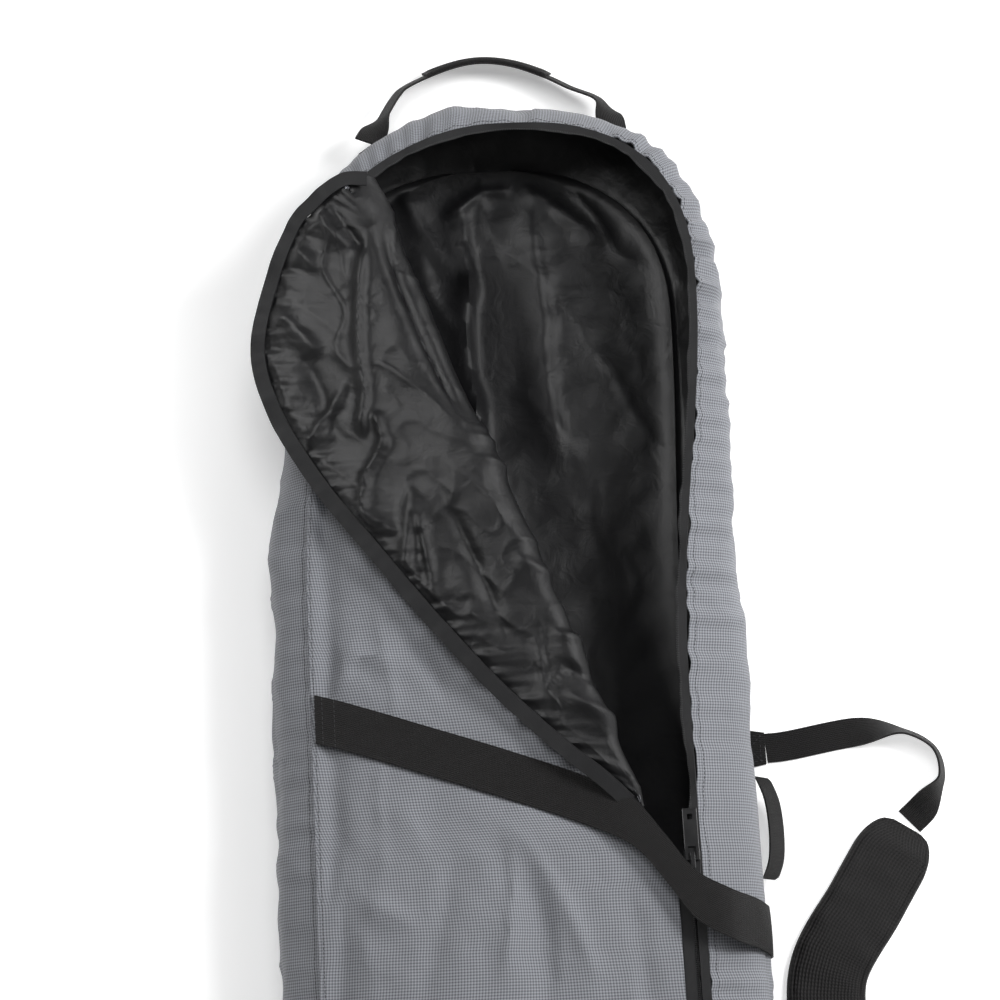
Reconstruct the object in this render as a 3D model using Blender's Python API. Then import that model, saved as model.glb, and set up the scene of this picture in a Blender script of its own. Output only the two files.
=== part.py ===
"""Snowboard bag: a long flat bag that lies on its back, with the head end of its front panel unzipped and
folded back to the left. Metres, +Z up, +Y towards the head end, origin at the middle of the back panel's
underside. Run with: blender --background --python part.py"""

import math

import bpy
import bmesh
from mathutils import Matrix, Vector

# ---- Driving dimensions, in metres ----
SIDE_END = 0.66          # the sides run straight between -SIDE_END and +SIDE_END
HEAD_REACH = 0.188       # how far the rounded ends bulge past the straight sides
BODY_HEIGHT = 0.0985     # seam of the front panel above the floor, as the bag lies slack
CLOTH = 0.0012           # polyester shell
LINING = 0.0009          # nylon lining
GAP = 0.0004             # between neighbours that are sewn together on the real bag
WEBBING = 0.0018         # thickness of every web
CROSS_WEB = 0.040        # width of the cross straps
LOWER_STRAP_SHIFT = -0.62                 # the lower cross strap, from the upper one
STRAP_ARCH = 0.1165      # height of the cross straps where they arch over the zip
LOCK_X = 0.1795          # inner edge of the straps' adjusters
SHOULDER_WEB = 0.025     # width of the shoulder strap's web
ZIP_X = 0.150            # the closed zip runs along this line
TAPE_WIDTH = 0.012       # front half of the zip tape
SLIDER_Y = 0.170         # where the slider stands, beside the upper cross strap
PULL_HINGE = 0.0012      # the pull's turning end, from the middle of the slider
PULL_THICK = 0.0018
PULL_LOW = 0.1055        # underside of the pull
FRONT_CROWN = 0.012      # how far the middle of the front panel stands above its seams
FOLD_TOP = Vector((-0.079, 0.758, 0))     # the fold of the open flap, at the head end
FOLD_FOOT = Vector((0.1105, 0.226, 0))    # and where it runs out beside the zip
FOLD_RADIUS = (0.026, 0.007)              # the roll of cloth along the fold, at those two ends
FLAP_SLOPE = (0.42, 0.07)                 # fall of the folded flap towards the left, at those two ends
ANCHOR_END = 0.2255      # the shoulder strap swings about this line
HANDLE_Y = 0.8290        # the grab handles' feet, from the middle of the bag
HANDLE_Z = 0.0430
# The handles' webs: across from the left foot (five points) or the right foot (the rest), out from it, and height
HANDLE_ROUTE = ((0.0, 0.0, 0.043), (0.007, 0.016, 0.035), (0.0235, 0.050, 0.023), (0.037, 0.064, 0.019),
                (0.072, 0.079, 0.017), (-0.116, 0.084, 0.017), (-0.086, 0.0795, 0.017), (-0.056, 0.067, 0.017),
                (-0.034, 0.0535, 0.019), (-0.010, 0.038, 0.026), (-0.002, 0.017, 0.035), (0.0, 0.0, 0.043))
HANDLE_WEB = 0.025
PAD_WIDTH = 0.065
PAD_HEIGHT = 0.009
GUSSET_STATIONS = 23     # along each of the gusset's four panels

# Cross-section of the gusset, from the back seam to the front seam:
# height, half width, reach of the rounded ends, lean to the right, roundness of the ends
SECTION = (
    (0.0024, 0.165, 0.150, 0.000, 0.85),
    (0.022, 0.187, 0.176, 0.006, 0.87),
    (0.050, 0.198, HEAD_REACH, 0.012, 0.88),
    (0.078, 0.188, 0.178, 0.010, 0.84),
    (BODY_HEIGHT, 0.1545, 0.155, 0.0035, 0.78),
)


def clear_scene():
    for obj in list(bpy.data.objects):
        bpy.data.objects.remove(obj, do_unlink=True)


def finish(name, color, roughness, metallic=0.0):
    """A Principled material with this colour."""
    material = bpy.data.materials.new(name)
    material.use_nodes = True
    shader = material.node_tree.nodes["Principled BSDF"]
    shader.inputs["Base Color"].default_value = (*color, 1)
    shader.inputs["Roughness"].default_value = roughness
    shader.inputs["Metallic"].default_value = metallic
    return material


def smooth(value):
    value = min(max(value, 0.0), 1.0)
    return value * value * (3 - 2 * value)


def lerp(a, b, t):
    return a + (b - a) * t


def curve_through(points, count):
    """Points at even distances along a smooth curve through the given ones."""
    knots = [Vector(p) for p in points]
    knots = [2 * knots[0] - knots[1]] + knots + [2 * knots[-1] - knots[-2]]
    fine = []
    for a, b, c, d in zip(knots, knots[1:], knots[2:], knots[3:]):
        for step in range(24):
            t = step / 24
            bend = (2 * a - 5 * b + 4 * c - d) * t**2 + (3 * b - a - 3 * c + d) * t**3
            fine.append(0.5 * (2 * b + (c - a) * t + bend))
    fine.append(knots[-2])
    lengths = [0.0]
    for a, b in zip(fine, fine[1:]):
        lengths.append(lengths[-1] + (b - a).length)
    found, i = [], 0
    for n in range(count):
        goal = lengths[-1] * n / (count - 1)
        while i < len(fine) - 2 and lengths[i + 1] < goal:
            i += 1
        part = (goal - lengths[i]) / max(lengths[i + 1] - lengths[i], 1e-9)
        found.append(fine[i].lerp(fine[i + 1], min(part, 1.0)))
    return found


# ---- Solids ----
def add_object(name, bm, material, smooth_angle=35.0):
    bmesh.ops.recalc_face_normals(bm, faces=bm.faces)
    mesh = bpy.data.meshes.new(name)
    bm.to_mesh(mesh)
    bm.free()
    mesh.materials.append(material)
    mesh.shade_smooth()
    mesh.set_sharp_from_angle(angle=math.radians(smooth_angle))
    obj = bpy.data.objects.new(name, mesh)
    bpy.context.scene.collection.objects.link(obj)
    return obj


def grid_normals(grid):
    rows, columns = len(grid), len(grid[0])
    normals = []
    for i in range(rows):
        line = []
        for j in range(columns):
            along = grid[min(i + 1, rows - 1)][j] - grid[max(i - 1, 0)][j]
            across = grid[i][min(j + 1, columns - 1)] - grid[i][max(j - 1, 0)]
            line.append(along.cross(across).normalized())
        normals.append(line)
    return normals


def slab(name, grid, thickness, material, sunk=0.0):
    """A sheet as a closed solid. Its outer face follows the grid of points, or lies this far sunk behind it, on the
    side that along x across points to. Its inner face lies one thickness further in."""
    normals = grid_normals(grid)
    bm = bmesh.new()
    outer, inner = (
        [[bm.verts.new(p - n * depth) for p, n in zip(line, across)] for line, across in zip(grid, normals)]
        for depth in (sunk, sunk + thickness)
    )
    rows, columns = len(grid), len(grid[0])
    for i in range(rows - 1):
        for j in range(columns - 1):
            for layer, flip in ((outer, 1), (inner, -1)):
                a, b, c, d = layer[i][j], layer[i + 1][j], layer[i + 1][j + 1], layer[i][j + 1]
                bm.faces.new((a, b, c)[::flip])
                bm.faces.new((a, c, d)[::flip])
    rim = [(0, j) for j in range(columns)] + [(i, columns - 1) for i in range(1, rows)]
    rim += [(rows - 1, j) for j in range(columns - 2, -1, -1)] + [(i, 0) for i in range(rows - 2, 0, -1)]
    for (i, j), (k, l) in zip(rim, rim[1:] + rim[:1]):
        bm.faces.new((outer[i][j], outer[k][l], inner[k][l], inner[i][j]))
    return add_object(name, bm, material)


def ribbon(name, path, width, thickness, material, across):
    """A flat web whose outer face follows the path. across gives the direction of its width at each point."""
    grid = []
    for n, point in enumerate(path):
        side = across(n / (len(path) - 1)).normalized() * width / 2
        grid.append([point - side, point + side])
    return slab(name, grid, thickness, material)


def box_part(low, high, edge):
    """A box with rounded edges, as geometry to be joined."""
    bm = bmesh.new()
    size = Vector(high) - Vector(low)
    middle = (Vector(high) + Vector(low)) / 2
    bmesh.ops.create_cube(bm, size=1.0, matrix=Matrix.Translation(middle) @ Matrix.Diagonal((*size, 1)))
    if edge:
        bmesh.ops.bevel(bm, geom=bm.edges[:], offset=edge, segments=2, profile=0.5, affect="EDGES")
    return bm


def join_parts(name, parts, material, cut=()):
    """One body from overlapping parts, less the cutters."""
    main = add_object(name, parts[0], material)
    helpers = [(add_object(name + "_join", part, material), "UNION") for part in parts[1:]]
    helpers += [(add_object(name + "_cut", part, material), "DIFFERENCE") for part in cut]
    for helper, operation in helpers:
        modifier = main.modifiers.new(operation.title(), "BOOLEAN")
        modifier.operation = operation
        modifier.object = helper
    bpy.context.view_layer.update()
    shape = bpy.data.meshes.new_from_object(main.evaluated_get(bpy.context.evaluated_depsgraph_get()))
    main.modifiers.clear()
    main.data = shape
    for helper, _ in helpers:
        bpy.data.objects.remove(helper, do_unlink=True)
    return main


# ---- The bag's outline ----
def splay(y):
    """How far the open edge on the zip's side has fallen outwards, towards the head."""
    return 0.030 * smooth((y - 0.30) / 0.36)


def side_point(row, side, y, inset=0.0):
    """A point of the gusset on its straight left (-1) or right (+1) side."""
    height, half, _, lean, _ = SECTION[row]
    head = smooth((y - 0.40) / 0.26)
    half -= (0.016 if row in (1, 2, 3) else 0.004) * head
    x = lean + 0.013 * head + side * (half - inset)
    if side > 0 and row >= 3:
        x += splay(y) * (0.45 if row == 3 else 0.72)
    return Vector((x, y, height))


def end_point(row, end, angle, inset=0.0):
    """A point of the gusset on the rounded head (+1) or tail (-1); the angle runs from the right side round."""
    height, _, reach, _, roundness = SECTION[row]
    right = side_point(row, 1, end * SIDE_END)
    left = side_point(row, -1, end * SIDE_END)
    middle = (right + left) / 2
    half = (right.x - left.x) / 2 - inset
    c, s = math.cos(angle), math.sin(angle)
    x = middle.x + half * math.copysign(abs(c) ** roundness, c)
    sag = 0.014 * smooth((middle.x - x) / 0.14) if end > 0 and row == 4 else 0.0
    return Vector((x, end * (SIDE_END + (reach - inset) * s**roundness - sag * s), height))


def gusset_stations(part):
    """Point functions along one panel of the gusset, in the order that turns its face outwards."""
    stations = GUSSET_STATIONS
    if part in ("right", "left"):
        side = 1 if part == "right" else -1
        stop = SIDE_END - GAP
        ys = [lerp(-stop, stop, n / (stations - 1)) for n in range(stations)][::side]
        return [lambda row, y=y: side_point(row, side, y) for y in ys]
    end = 1 if part == "head" else -1
    margin = GAP / SECTION[0][2]
    angles = [lerp(margin, math.pi - margin, n / (stations - 1)) for n in range(stations)][::end]
    return [lambda row, a=a: end_point(row, end, a) for a in angles]


def gusset_panel(part, material, lining):
    grid = [[station(row) for row in range(5)] for station in gusset_stations(part)]
    slab("gusset_" + part, grid, CLOTH, material)
    slab("gusset_lining_" + part, grid, LINING, lining, sunk=CLOTH + GAP)


def flat_outline(row, inset, straight=12, rounded=20):
    """Closed outline of a panel in plan, inside the gusset's seam of that row."""
    points = [side_point(row, 1, lerp(-SIDE_END, SIDE_END, n / straight), inset) for n in range(straight)]
    points += [end_point(row, 1, lerp(0, math.pi, n / rounded), inset) for n in range(rounded)]
    points += [side_point(row, -1, lerp(SIDE_END, -SIDE_END, n / straight), inset) for n in range(straight)]
    points += [end_point(row, -1, lerp(math.pi, 0, n / rounded), inset) for n in range(rounded)]
    return points


def flat_panel(name, outline, low, high, material):
    bm = bmesh.new()
    face = bm.faces.new([bm.verts.new((p.x, p.y, low)) for p in outline])
    lifted = bmesh.ops.extrude_face_region(bm, geom=[face])["geom"]
    for item in lifted:
        if isinstance(item, bmesh.types.BMVert):
            item.co.z = high
    bmesh.ops.triangulate(bm, faces=bm.faces)
    return add_object(name, bm, material)


# ---- Front panel and flap ----
FOLD_ALONG = (FOLD_FOOT - FOLD_TOP).normalized()
FOLD_LENGTH = (FOLD_FOOT - FOLD_TOP).length
FOLD_RIGHT = Vector((-FOLD_ALONG.y, FOLD_ALONG.x, 0))


def front_height(x, y):
    across = x / ZIP_X
    ends = 1 - smooth((abs(y) - 0.50) / 0.30)
    return BODY_HEIGHT + 0.0014 + FRONT_CROWN * max(0.0, 1 - across * across) * lerp(0.35, 1.0, ends)


def fold_radius(part):
    return lerp(FOLD_RADIUS[0], FOLD_RADIUS[1], part)


def fold_point(part, distance, height):
    """A point beside the fold: part runs along it from the head, distance to the left of its outermost line."""
    flat = FOLD_TOP + FOLD_ALONG * (part * FOLD_LENGTH) - FOLD_RIGHT * distance
    return Vector((flat.x, flat.y, height))


def roll_base(part):
    under = fold_point(part, fold_radius(part), 0)
    return front_height(under.x, under.y) + 0.0006


def front_edge(y):
    """Right edge of the part of the front panel that stays zipped down."""
    zip_edge = ZIP_X - TAPE_WIDTH - 0.0007
    part = (FOLD_TOP.y - y) / (FOLD_TOP.y - FOLD_FOOT.y)
    if part > 1:
        return lerp(fold_point(1, fold_radius(1), 0).x, zip_edge, smooth((FOLD_FOOT.y - y) / 0.05))
    return fold_point(part, fold_radius(part) * 1.1 + 0.0006, 0).x


def left_seam(y, inset):
    """Left edge of the front panel, round both ends."""
    if abs(y) <= SIDE_END:
        return side_point(4, -1, y, inset).x
    end = math.copysign(1, y)
    low, high = math.pi / 2, math.pi
    for _ in range(40):
        middle = (low + high) / 2
        if abs(end_point(4, end, middle, inset).y) > abs(y):
            low = middle
        else:
            high = middle
    return end_point(4, end, high, inset).x


def right_seam(y, inset):
    if y >= -SIDE_END:
        return front_edge(y)
    low, high = 0.0, math.pi / 2
    for _ in range(40):
        middle = (low + high) / 2
        if abs(end_point(4, -1, middle, inset).y) > abs(y):
            high = middle
        else:
            low = middle
    return min(end_point(4, -1, low, inset).x, front_edge(-SIDE_END))


def front_panel(name, drop, inset, thickness, material):
    tail = -(SIDE_END + SECTION[4][2] - inset - 0.003)
    head = FOLD_TOP.y - 0.004
    stations = [lerp(tail, -SIDE_END, smooth(n / 8) * 0.5 + 0.5 * (n / 8)) for n in range(8)]
    stations += [lerp(-SIDE_END, head, n / 26) for n in range(27)]
    grid = []
    for y in stations:
        left, right = left_seam(y, inset), right_seam(y, inset)
        line = [Vector((x, y, front_height(x, y) - drop)) for x in (lerp(right, left, n / 6) for n in range(7))]
        grid.append(line)
    return slab(name, grid, thickness, material)


def fold_roll(cloth):
    """The roll of cloth that joins the front panel to the folded flap: it opens out as the flap turns."""
    grid = []
    for n in range(15):
        part = lerp(0.002, 0.985, n / 14)
        r = fold_radius(part)
        base = roll_base(part)
        line = []
        for step in range(9):
            turn = lerp(0, math.pi, step / 8)
            line.append(fold_point(part, r - r * math.sin(turn), base + r + 0.001 - r * math.cos(turn)))
        grid.append(line[::-1])
    return slab("flap_fold", grid, CLOTH + LINING, cloth)


# The flap's free edge: distance along the fold, and distance to the left of it.
FREE_EDGE = ((-0.006, 0.030), (0.000, 0.055), (0.012, 0.084), (0.050, 0.122), (0.100, 0.154), (0.160, 0.160),
             (0.230, 0.149), (0.300, 0.129), (0.380, 0.104), (0.450, 0.078), (0.510, 0.050), (0.546, 0.026))


def flap_surface(along, distance, lift):
    """The folded flap's underside, raised by lift: it leaves the top of the roll and falls to the left."""
    part = along / FOLD_LENGTH
    held = min(max(part, 0.0), 1.0)
    r = fold_radius(held)
    top = roll_base(held) + 2 * r + 0.0012
    return fold_point(part, distance, top - lerp(*FLAP_SLOPE, held) * (distance - r) + lift)


def flap_grid(edge, columns, lift, tuck):
    """Rows follow the free edge; each row runs from the roll to that edge."""
    grid = []
    first, last = edge[0].x, edge[-1].x
    for point in edge:
        along_root = lerp(first + 0.012, last - 0.006, (point.x - first) / (last - first))
        root = Vector((along_root, fold_radius(min(max(along_root / FOLD_LENGTH, 0), 1)) + tuck))
        line = []
        for n in range(columns):
            spot = root.lerp(Vector((point.x, point.y)), n / (columns - 1))
            line.append(flap_surface(spot.x, spot.y, lift))
        grid.append(line)
    return grid


def inset_edge(edge, inset):
    """The edge line moved towards the flap's inside."""
    moved = []
    for n, point in enumerate(edge):
        ahead = edge[min(n + 1, len(edge) - 1)] - edge[max(n - 1, 0)]
        normal = Vector((ahead.y, -ahead.x, 0)).normalized()
        moved.append(point + normal * inset)
    return moved


def flap(finishes):
    edge = curve_through([(*p, 0) for p in FREE_EDGE], 40)
    inner = inset_edge(edge, 0.0115)
    slab("flap_shell", [line[::-1] for line in flap_grid(inner, 5, CLOTH, 0.001)], CLOTH, finishes["shell"])
    lining_lift = CLOTH + GAP + LINING
    slab("flap_lining", [line[::-1] for line in flap_grid(inner, 5, lining_lift, 0.001)], LINING, finishes["lining"])
    tape_lift = CLOTH + LINING
    near = inset_edge(edge, 0.0108)
    tape = [[flap_surface(b.x, b.y, tape_lift), flap_surface(a.x, a.y, tape_lift)] for a, b in zip(near, edge)]
    slab("flap_zip_tape", tape, 0.0014, finishes["zip"])
    inside, outside = inset_edge(edge, 0.0035), inset_edge(edge, 0.0006)
    lift = tape_lift + 0.0018
    coil = [[flap_surface(b.x, b.y, lift), flap_surface(a.x, a.y, lift)] for a, b in zip(inside, outside)]
    slab("flap_zip_coil", coil, 0.0014, finishes["zip"])


# ---- Zip ----
def zip_edge_point(part, inset):
    """Along the gusset's front edge: part runs from the tail up the right side and round the head, 0 to 1."""
    straight, cap = 2 * SIDE_END, 0.42
    run = part * (straight + cap)
    if run <= straight:
        y = -SIDE_END + run
        point = side_point(4, 1, y, inset)
    else:
        point = end_point(4, 1, min((run - straight) / cap, 1.0) * math.pi * 0.77, inset)
    return point


def zip_line(finishes):
    stations = [n / 63 for n in range(64)]
    height = Vector((0, 0, 0.0020))
    tape = [[zip_edge_point(s, 0.0) + height, zip_edge_point(s, 0.0070) + height] for s in stations]
    slab("zip_tape_gusset", tape, 0.0012, finishes["zip"])
    start = (SLIDER_Y + 0.014 + SIDE_END) / (2 * SIDE_END + 0.42)
    coil = []
    for n in range(44):
        s = lerp(start, 1, n / 43)
        raised = Vector((0, 0, 0.0036))
        coil.append([zip_edge_point(s, 0.0048) + raised, zip_edge_point(s, 0.0075) + raised])
    slab("zip_coil_gusset", coil, 0.0013, finishes["zip"])
    low = BODY_HEIGHT + 0.0008
    front = []
    for n in range(20):
        y = lerp(-SIDE_END, SLIDER_Y - 0.002, n / 19)
        front.append([Vector((ZIP_X - 0.0006, y, low + 0.0012)), Vector((ZIP_X - TAPE_WIDTH, y, low + 0.0012))])
    slab("zip_tape_front", front, 0.0012, finishes["zip"])
    chain = [
        [Vector((ZIP_X + 0.0028, y, low + 0.0031)), Vector((ZIP_X - 0.0028, y, low + 0.0031))]
        for y in (lerp(-SIDE_END + 0.012, SLIDER_Y - 0.004, n / 11) for n in range(12))
    ]
    slab("zip_chain_closed", chain, 0.0015, finishes["zip"])
    stop = box_part((ZIP_X - 0.005, -SIDE_END + 0.001, low + 0.0015), (ZIP_X + 0.005, -SIDE_END + 0.0115, low + 0.0042),
                    0.0008)
    add_object("zip_stop", stop, finishes["metal"])


def zip_slider(finishes):
    """Slider: an upper and a lower plate joined by a post between the two rows of teeth, with a bridge for the
    pull. The pull hangs in the bridge and lies towards the head."""
    low = BODY_HEIGHT + 0.0008
    top, bottom = low + 0.0036, low - 0.0006
    y0, y1 = SLIDER_Y - 0.011, SLIDER_Y + 0.011
    parts = []
    for a, b in ((top, top + 0.0018), (bottom - 0.0018, bottom)):
        bm = bmesh.new()
        outline = [(-0.0055, y0), (0.0055, y0), (0.0072, y1 - 0.007), (0.0062, y1 - 0.001), (0.0030, y1),
                   (-0.0030, y1), (-0.0062, y1 - 0.001), (-0.0072, y1 - 0.007)]
        face = bm.faces.new([bm.verts.new((ZIP_X + x, y, a)) for x, y in outline])
        for item in bmesh.ops.extrude_face_region(bm, geom=[face])["geom"]:
            if isinstance(item, bmesh.types.BMVert):
                item.co.z = b
        bmesh.ops.recalc_face_normals(bm, faces=bm.faces)
        bmesh.ops.bevel(bm, geom=bm.edges[:], offset=0.0004, segments=1, affect="EDGES")
        parts.append(bm)
    post = box_part((ZIP_X - 0.0007, y1 - 0.006, bottom - 0.0012), (ZIP_X + 0.0007, y1 - 0.0012, top + 0.0012), 0.0002)
    parts.append(post)
    rise = top + 0.0018
    for y in (SLIDER_Y - 0.0065, SLIDER_Y + 0.0050):
        parts.append(box_part((ZIP_X - 0.0020, y, rise - 0.001), (ZIP_X + 0.0020, y + 0.0016, rise + 0.0042), 0.0003))
    bridge = (ZIP_X + 0.0020, SLIDER_Y + 0.0066, rise + 0.0044)
    parts.append(box_part((ZIP_X - 0.0020, SLIDER_Y - 0.0065, rise + 0.0032), bridge, 0.0004))
    join_parts("zip_slider", parts, finishes["metal"])
    tongue = (ZIP_X + 0.0060, SLIDER_Y + 0.042, PULL_LOW + PULL_THICK)
    pull = box_part((ZIP_X - 0.0060, SLIDER_Y + 0.0002, PULL_LOW), tongue, 0.0006)
    window = box_part((ZIP_X - 0.0032, SLIDER_Y + 0.0022, PULL_LOW - 0.002),
                      (ZIP_X + 0.0032, SLIDER_Y + 0.0115, PULL_LOW + 0.004), 0.0)
    tip = box_part((ZIP_X - 0.0022, SLIDER_Y + 0.033, PULL_LOW - 0.002),
                   (ZIP_X + 0.0022, SLIDER_Y + 0.0375, PULL_LOW + 0.004), 0.0)
    join_parts("zip_pull", [pull], finishes["metal"], cut=[window, tip])


# ---- Webs ----
UPPER_STRAP = ((-0.1475, 0.301), (-0.120, 0.292), (-0.060, 0.270), (0.003, 0.247), (0.063, 0.224),
               (0.103, 0.203), (0.128, 0.172), (0.150, 0.142), (0.178, 0.126))


def strap_path(shift):
    """Over the front panel, up in an arch above the zip and down round the right side to its adjuster."""
    path = []
    for x, y in UPPER_STRAP[:-1]:
        arch = smooth((x - 0.060) / 0.06)
        height = lerp(front_height(x, y), STRAP_ARCH, arch) + 0.0013 + WEBBING
        path.append((x, y + shift, height))
    low = UPPER_STRAP[-1][1] + shift
    path += [(UPPER_STRAP[-1][0], low, STRAP_ARCH - 0.002), (0.199, low - 0.006, 0.090), (0.2105, low - 0.010, 0.066),
             (0.2135, low - 0.011, 0.046), (0.2085, low - 0.012, 0.026), (0.2075, low - 0.012, 0.0095)]
    return path


def ladder_lock(name, x, y, web, finishes):
    """Adjuster that lies on the floor: two side rails and three bars, the end bar raised for the thumb."""
    half = web / 2 + 0.004
    parts = [box_part((x, y - half, 0.0012), (x + 0.025, y - half + 0.0030, 0.0062), 0.0007)]
    parts.append(box_part((x, y + half - 0.0030, 0.0012), (x + 0.025, y + half, 0.0062), 0.0007))
    for start, low, high in ((0.0, 0.0014, 0.0052), (0.0105, 0.0030, 0.0066), (0.0205, 0.0018, 0.0060)):
        corner = (x + start + 0.0040, y + half - 0.0012, high)
        parts.append(box_part((x + start, y - half + 0.0012, low), corner, 0.0007))
    return join_parts(name, parts, finishes["plastic"])


def cross_strap(which, shift, finishes):
    web = finishes["webbing"]
    path = curve_through(strap_path(shift), 46)
    ribbon(f"strap_{which}", path, CROSS_WEB, WEBBING, web, lambda _: Vector((0, 1, 0)))
    y = path[-1].y
    ladder_lock(f"ladder_lock_{which}", LOCK_X, y, 0.038, finishes)
    tab = [Vector((x, y, z)) for x, z in ((0.1690, 0.0019), (0.1740, 0.0019), (0.1790, 0.0019))]
    ribbon(f"strap_tab_{which}", tab, 0.038, 0.0017, web, lambda _: Vector((0, 1, 0)))


def banked(path, tilt):
    """The direction of a web's width along its path: level, or turned up on its edge by tilt(t)."""
    sides = []
    for n in range(len(path)):
        ahead = path[min(n + 1, len(path) - 1)] - path[max(n - 1, 0)]
        level = Vector((-ahead.y, ahead.x, 0)).normalized()
        angle = tilt(n / (len(path) - 1))
        sides.append(level * math.cos(angle) - Vector((0, 0, math.sin(angle))))
    return sides


def handle(end, finishes):
    """Grab handle of one end, sewn to the gusset at both feet and lying out on the floor."""
    which = "head" if end > 0 else "tail"
    web = finishes["webbing"]
    middle = end_point(2, end, math.pi / 2).x
    half = end_point(2, end, 0).x - middle
    feet = (middle - 0.62 * half, middle + 0.575 * half)
    route = [(feet[0 if n < 5 else 1] + x, HANDLE_Y + out, z) for n, (x, out, z) in enumerate(HANDLE_ROUTE)]
    path = curve_through(route, 41)
    sides = banked(path, lambda t: math.radians(62) * smooth((min(t, 1 - t) - 0.02) / 0.10))
    if end < 0:
        path = [Vector((p.x, -p.y, p.z)) for p in path][::-1]
        sides = [Vector((s.x, -s.y, s.z)) for s in sides][::-1]
    grid = [[p - s * HANDLE_WEB / 2, p + s * HANDLE_WEB / 2] for p, s in zip(path, sides)]
    slab(f"handle_{which}", grid, WEBBING, web)
    sleeve = [[p - s * 0.0140, p + s * 0.0140] for p, s in zip(path[13:28], sides[13:28])]
    slab(f"handle_grip_{which}", sleeve, 0.0024, web, sunk=-0.0028)
    for foot, x in (("left", feet[0]), ("right", feet[1])):
        ratio = (x - middle) / half
        angle = math.acos(math.copysign(abs(ratio) ** (1 / SECTION[2][4]), ratio))
        grid = []
        for turn in (-0.07, 0.0, 0.07):
            low, high = end_point(2, end, angle + turn), end_point(3, end, angle + turn)
            grid.append([low, low.lerp(high, 0.45)])
        slab(f"handle_anchor_{which}_{foot}", grid[::end], WEBBING, web, sunk=-WEBBING - 0.0004)


def side_loop(finishes):
    """Small carry loop on the zip's side, hanging beside the gusset."""
    route = [(0.2165, 0.2440, 0.037), (0.2205, 0.2400, 0.030), (0.2262, 0.2250, 0.022), (0.2280, 0.2020, 0.020),
             (0.2262, 0.1790, 0.022), (0.2205, 0.1640, 0.030), (0.2165, 0.1600, 0.037)]
    path = curve_through(route, 25)
    ribbon("side_loop", path, 0.022, WEBBING, finishes["webbing"], lambda _: Vector((0.35, 0, -0.94)))


# Centre lines of the shoulder strap on the floor.
SHOULDER_UPPER = ((0.2282, 0.2735), (0.246, 0.2750), (0.300, 0.2830), (0.338, 0.2820), (0.366, 0.266),
                  (0.371, 0.240), (0.357, 0.219), (0.3415, 0.2050))
PAD_LINE = ((0.3390, 0.2005), (0.300, 0.142), (0.262, 0.082), (0.2615, 0.010), (0.268, -0.070), (0.274, -0.140))
SHOULDER_LOWER = ((0.2742, -0.1408), (0.279, -0.210), (0.281, -0.290), (0.280, -0.370), (0.273, -0.425),
                  (0.252, -0.4575), (0.2282, -0.4600))


def floor_path(points, count, twist, rise=lambda t: 0.0):
    """A web along the floor that stands up on its edge where it bends. Returns the path and its width's direction."""
    flat = curve_through([(x, y, 0) for x, y in points], count)
    path, sides = [], []
    for n, point in enumerate(flat):
        t = n / (count - 1)
        ahead = (flat[min(n + 1, count - 1)] - flat[max(n - 1, 0)]).normalized()
        angle = twist(t)
        level = Vector((ahead.y, -ahead.x, 0))
        side = level * math.cos(angle) + Vector((0, 0, math.sin(angle)))
        height = SHOULDER_WEB / 2 * abs(math.sin(angle)) + WEBBING + 0.0002 + rise(t)
        path.append(point + Vector((0, 0, height)))
        sides.append(-side)
    return path, sides


def shoulder_web(name, points, count, twist, finishes, rise=lambda t: 0.0):
    path, sides = floor_path(points, count, twist, rise)
    grid = [[p - s * SHOULDER_WEB / 2, p + s * SHOULDER_WEB / 2] for p, s in zip(path, sides)]
    return slab(name, grid, WEBBING, finishes["webbing"])


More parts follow.
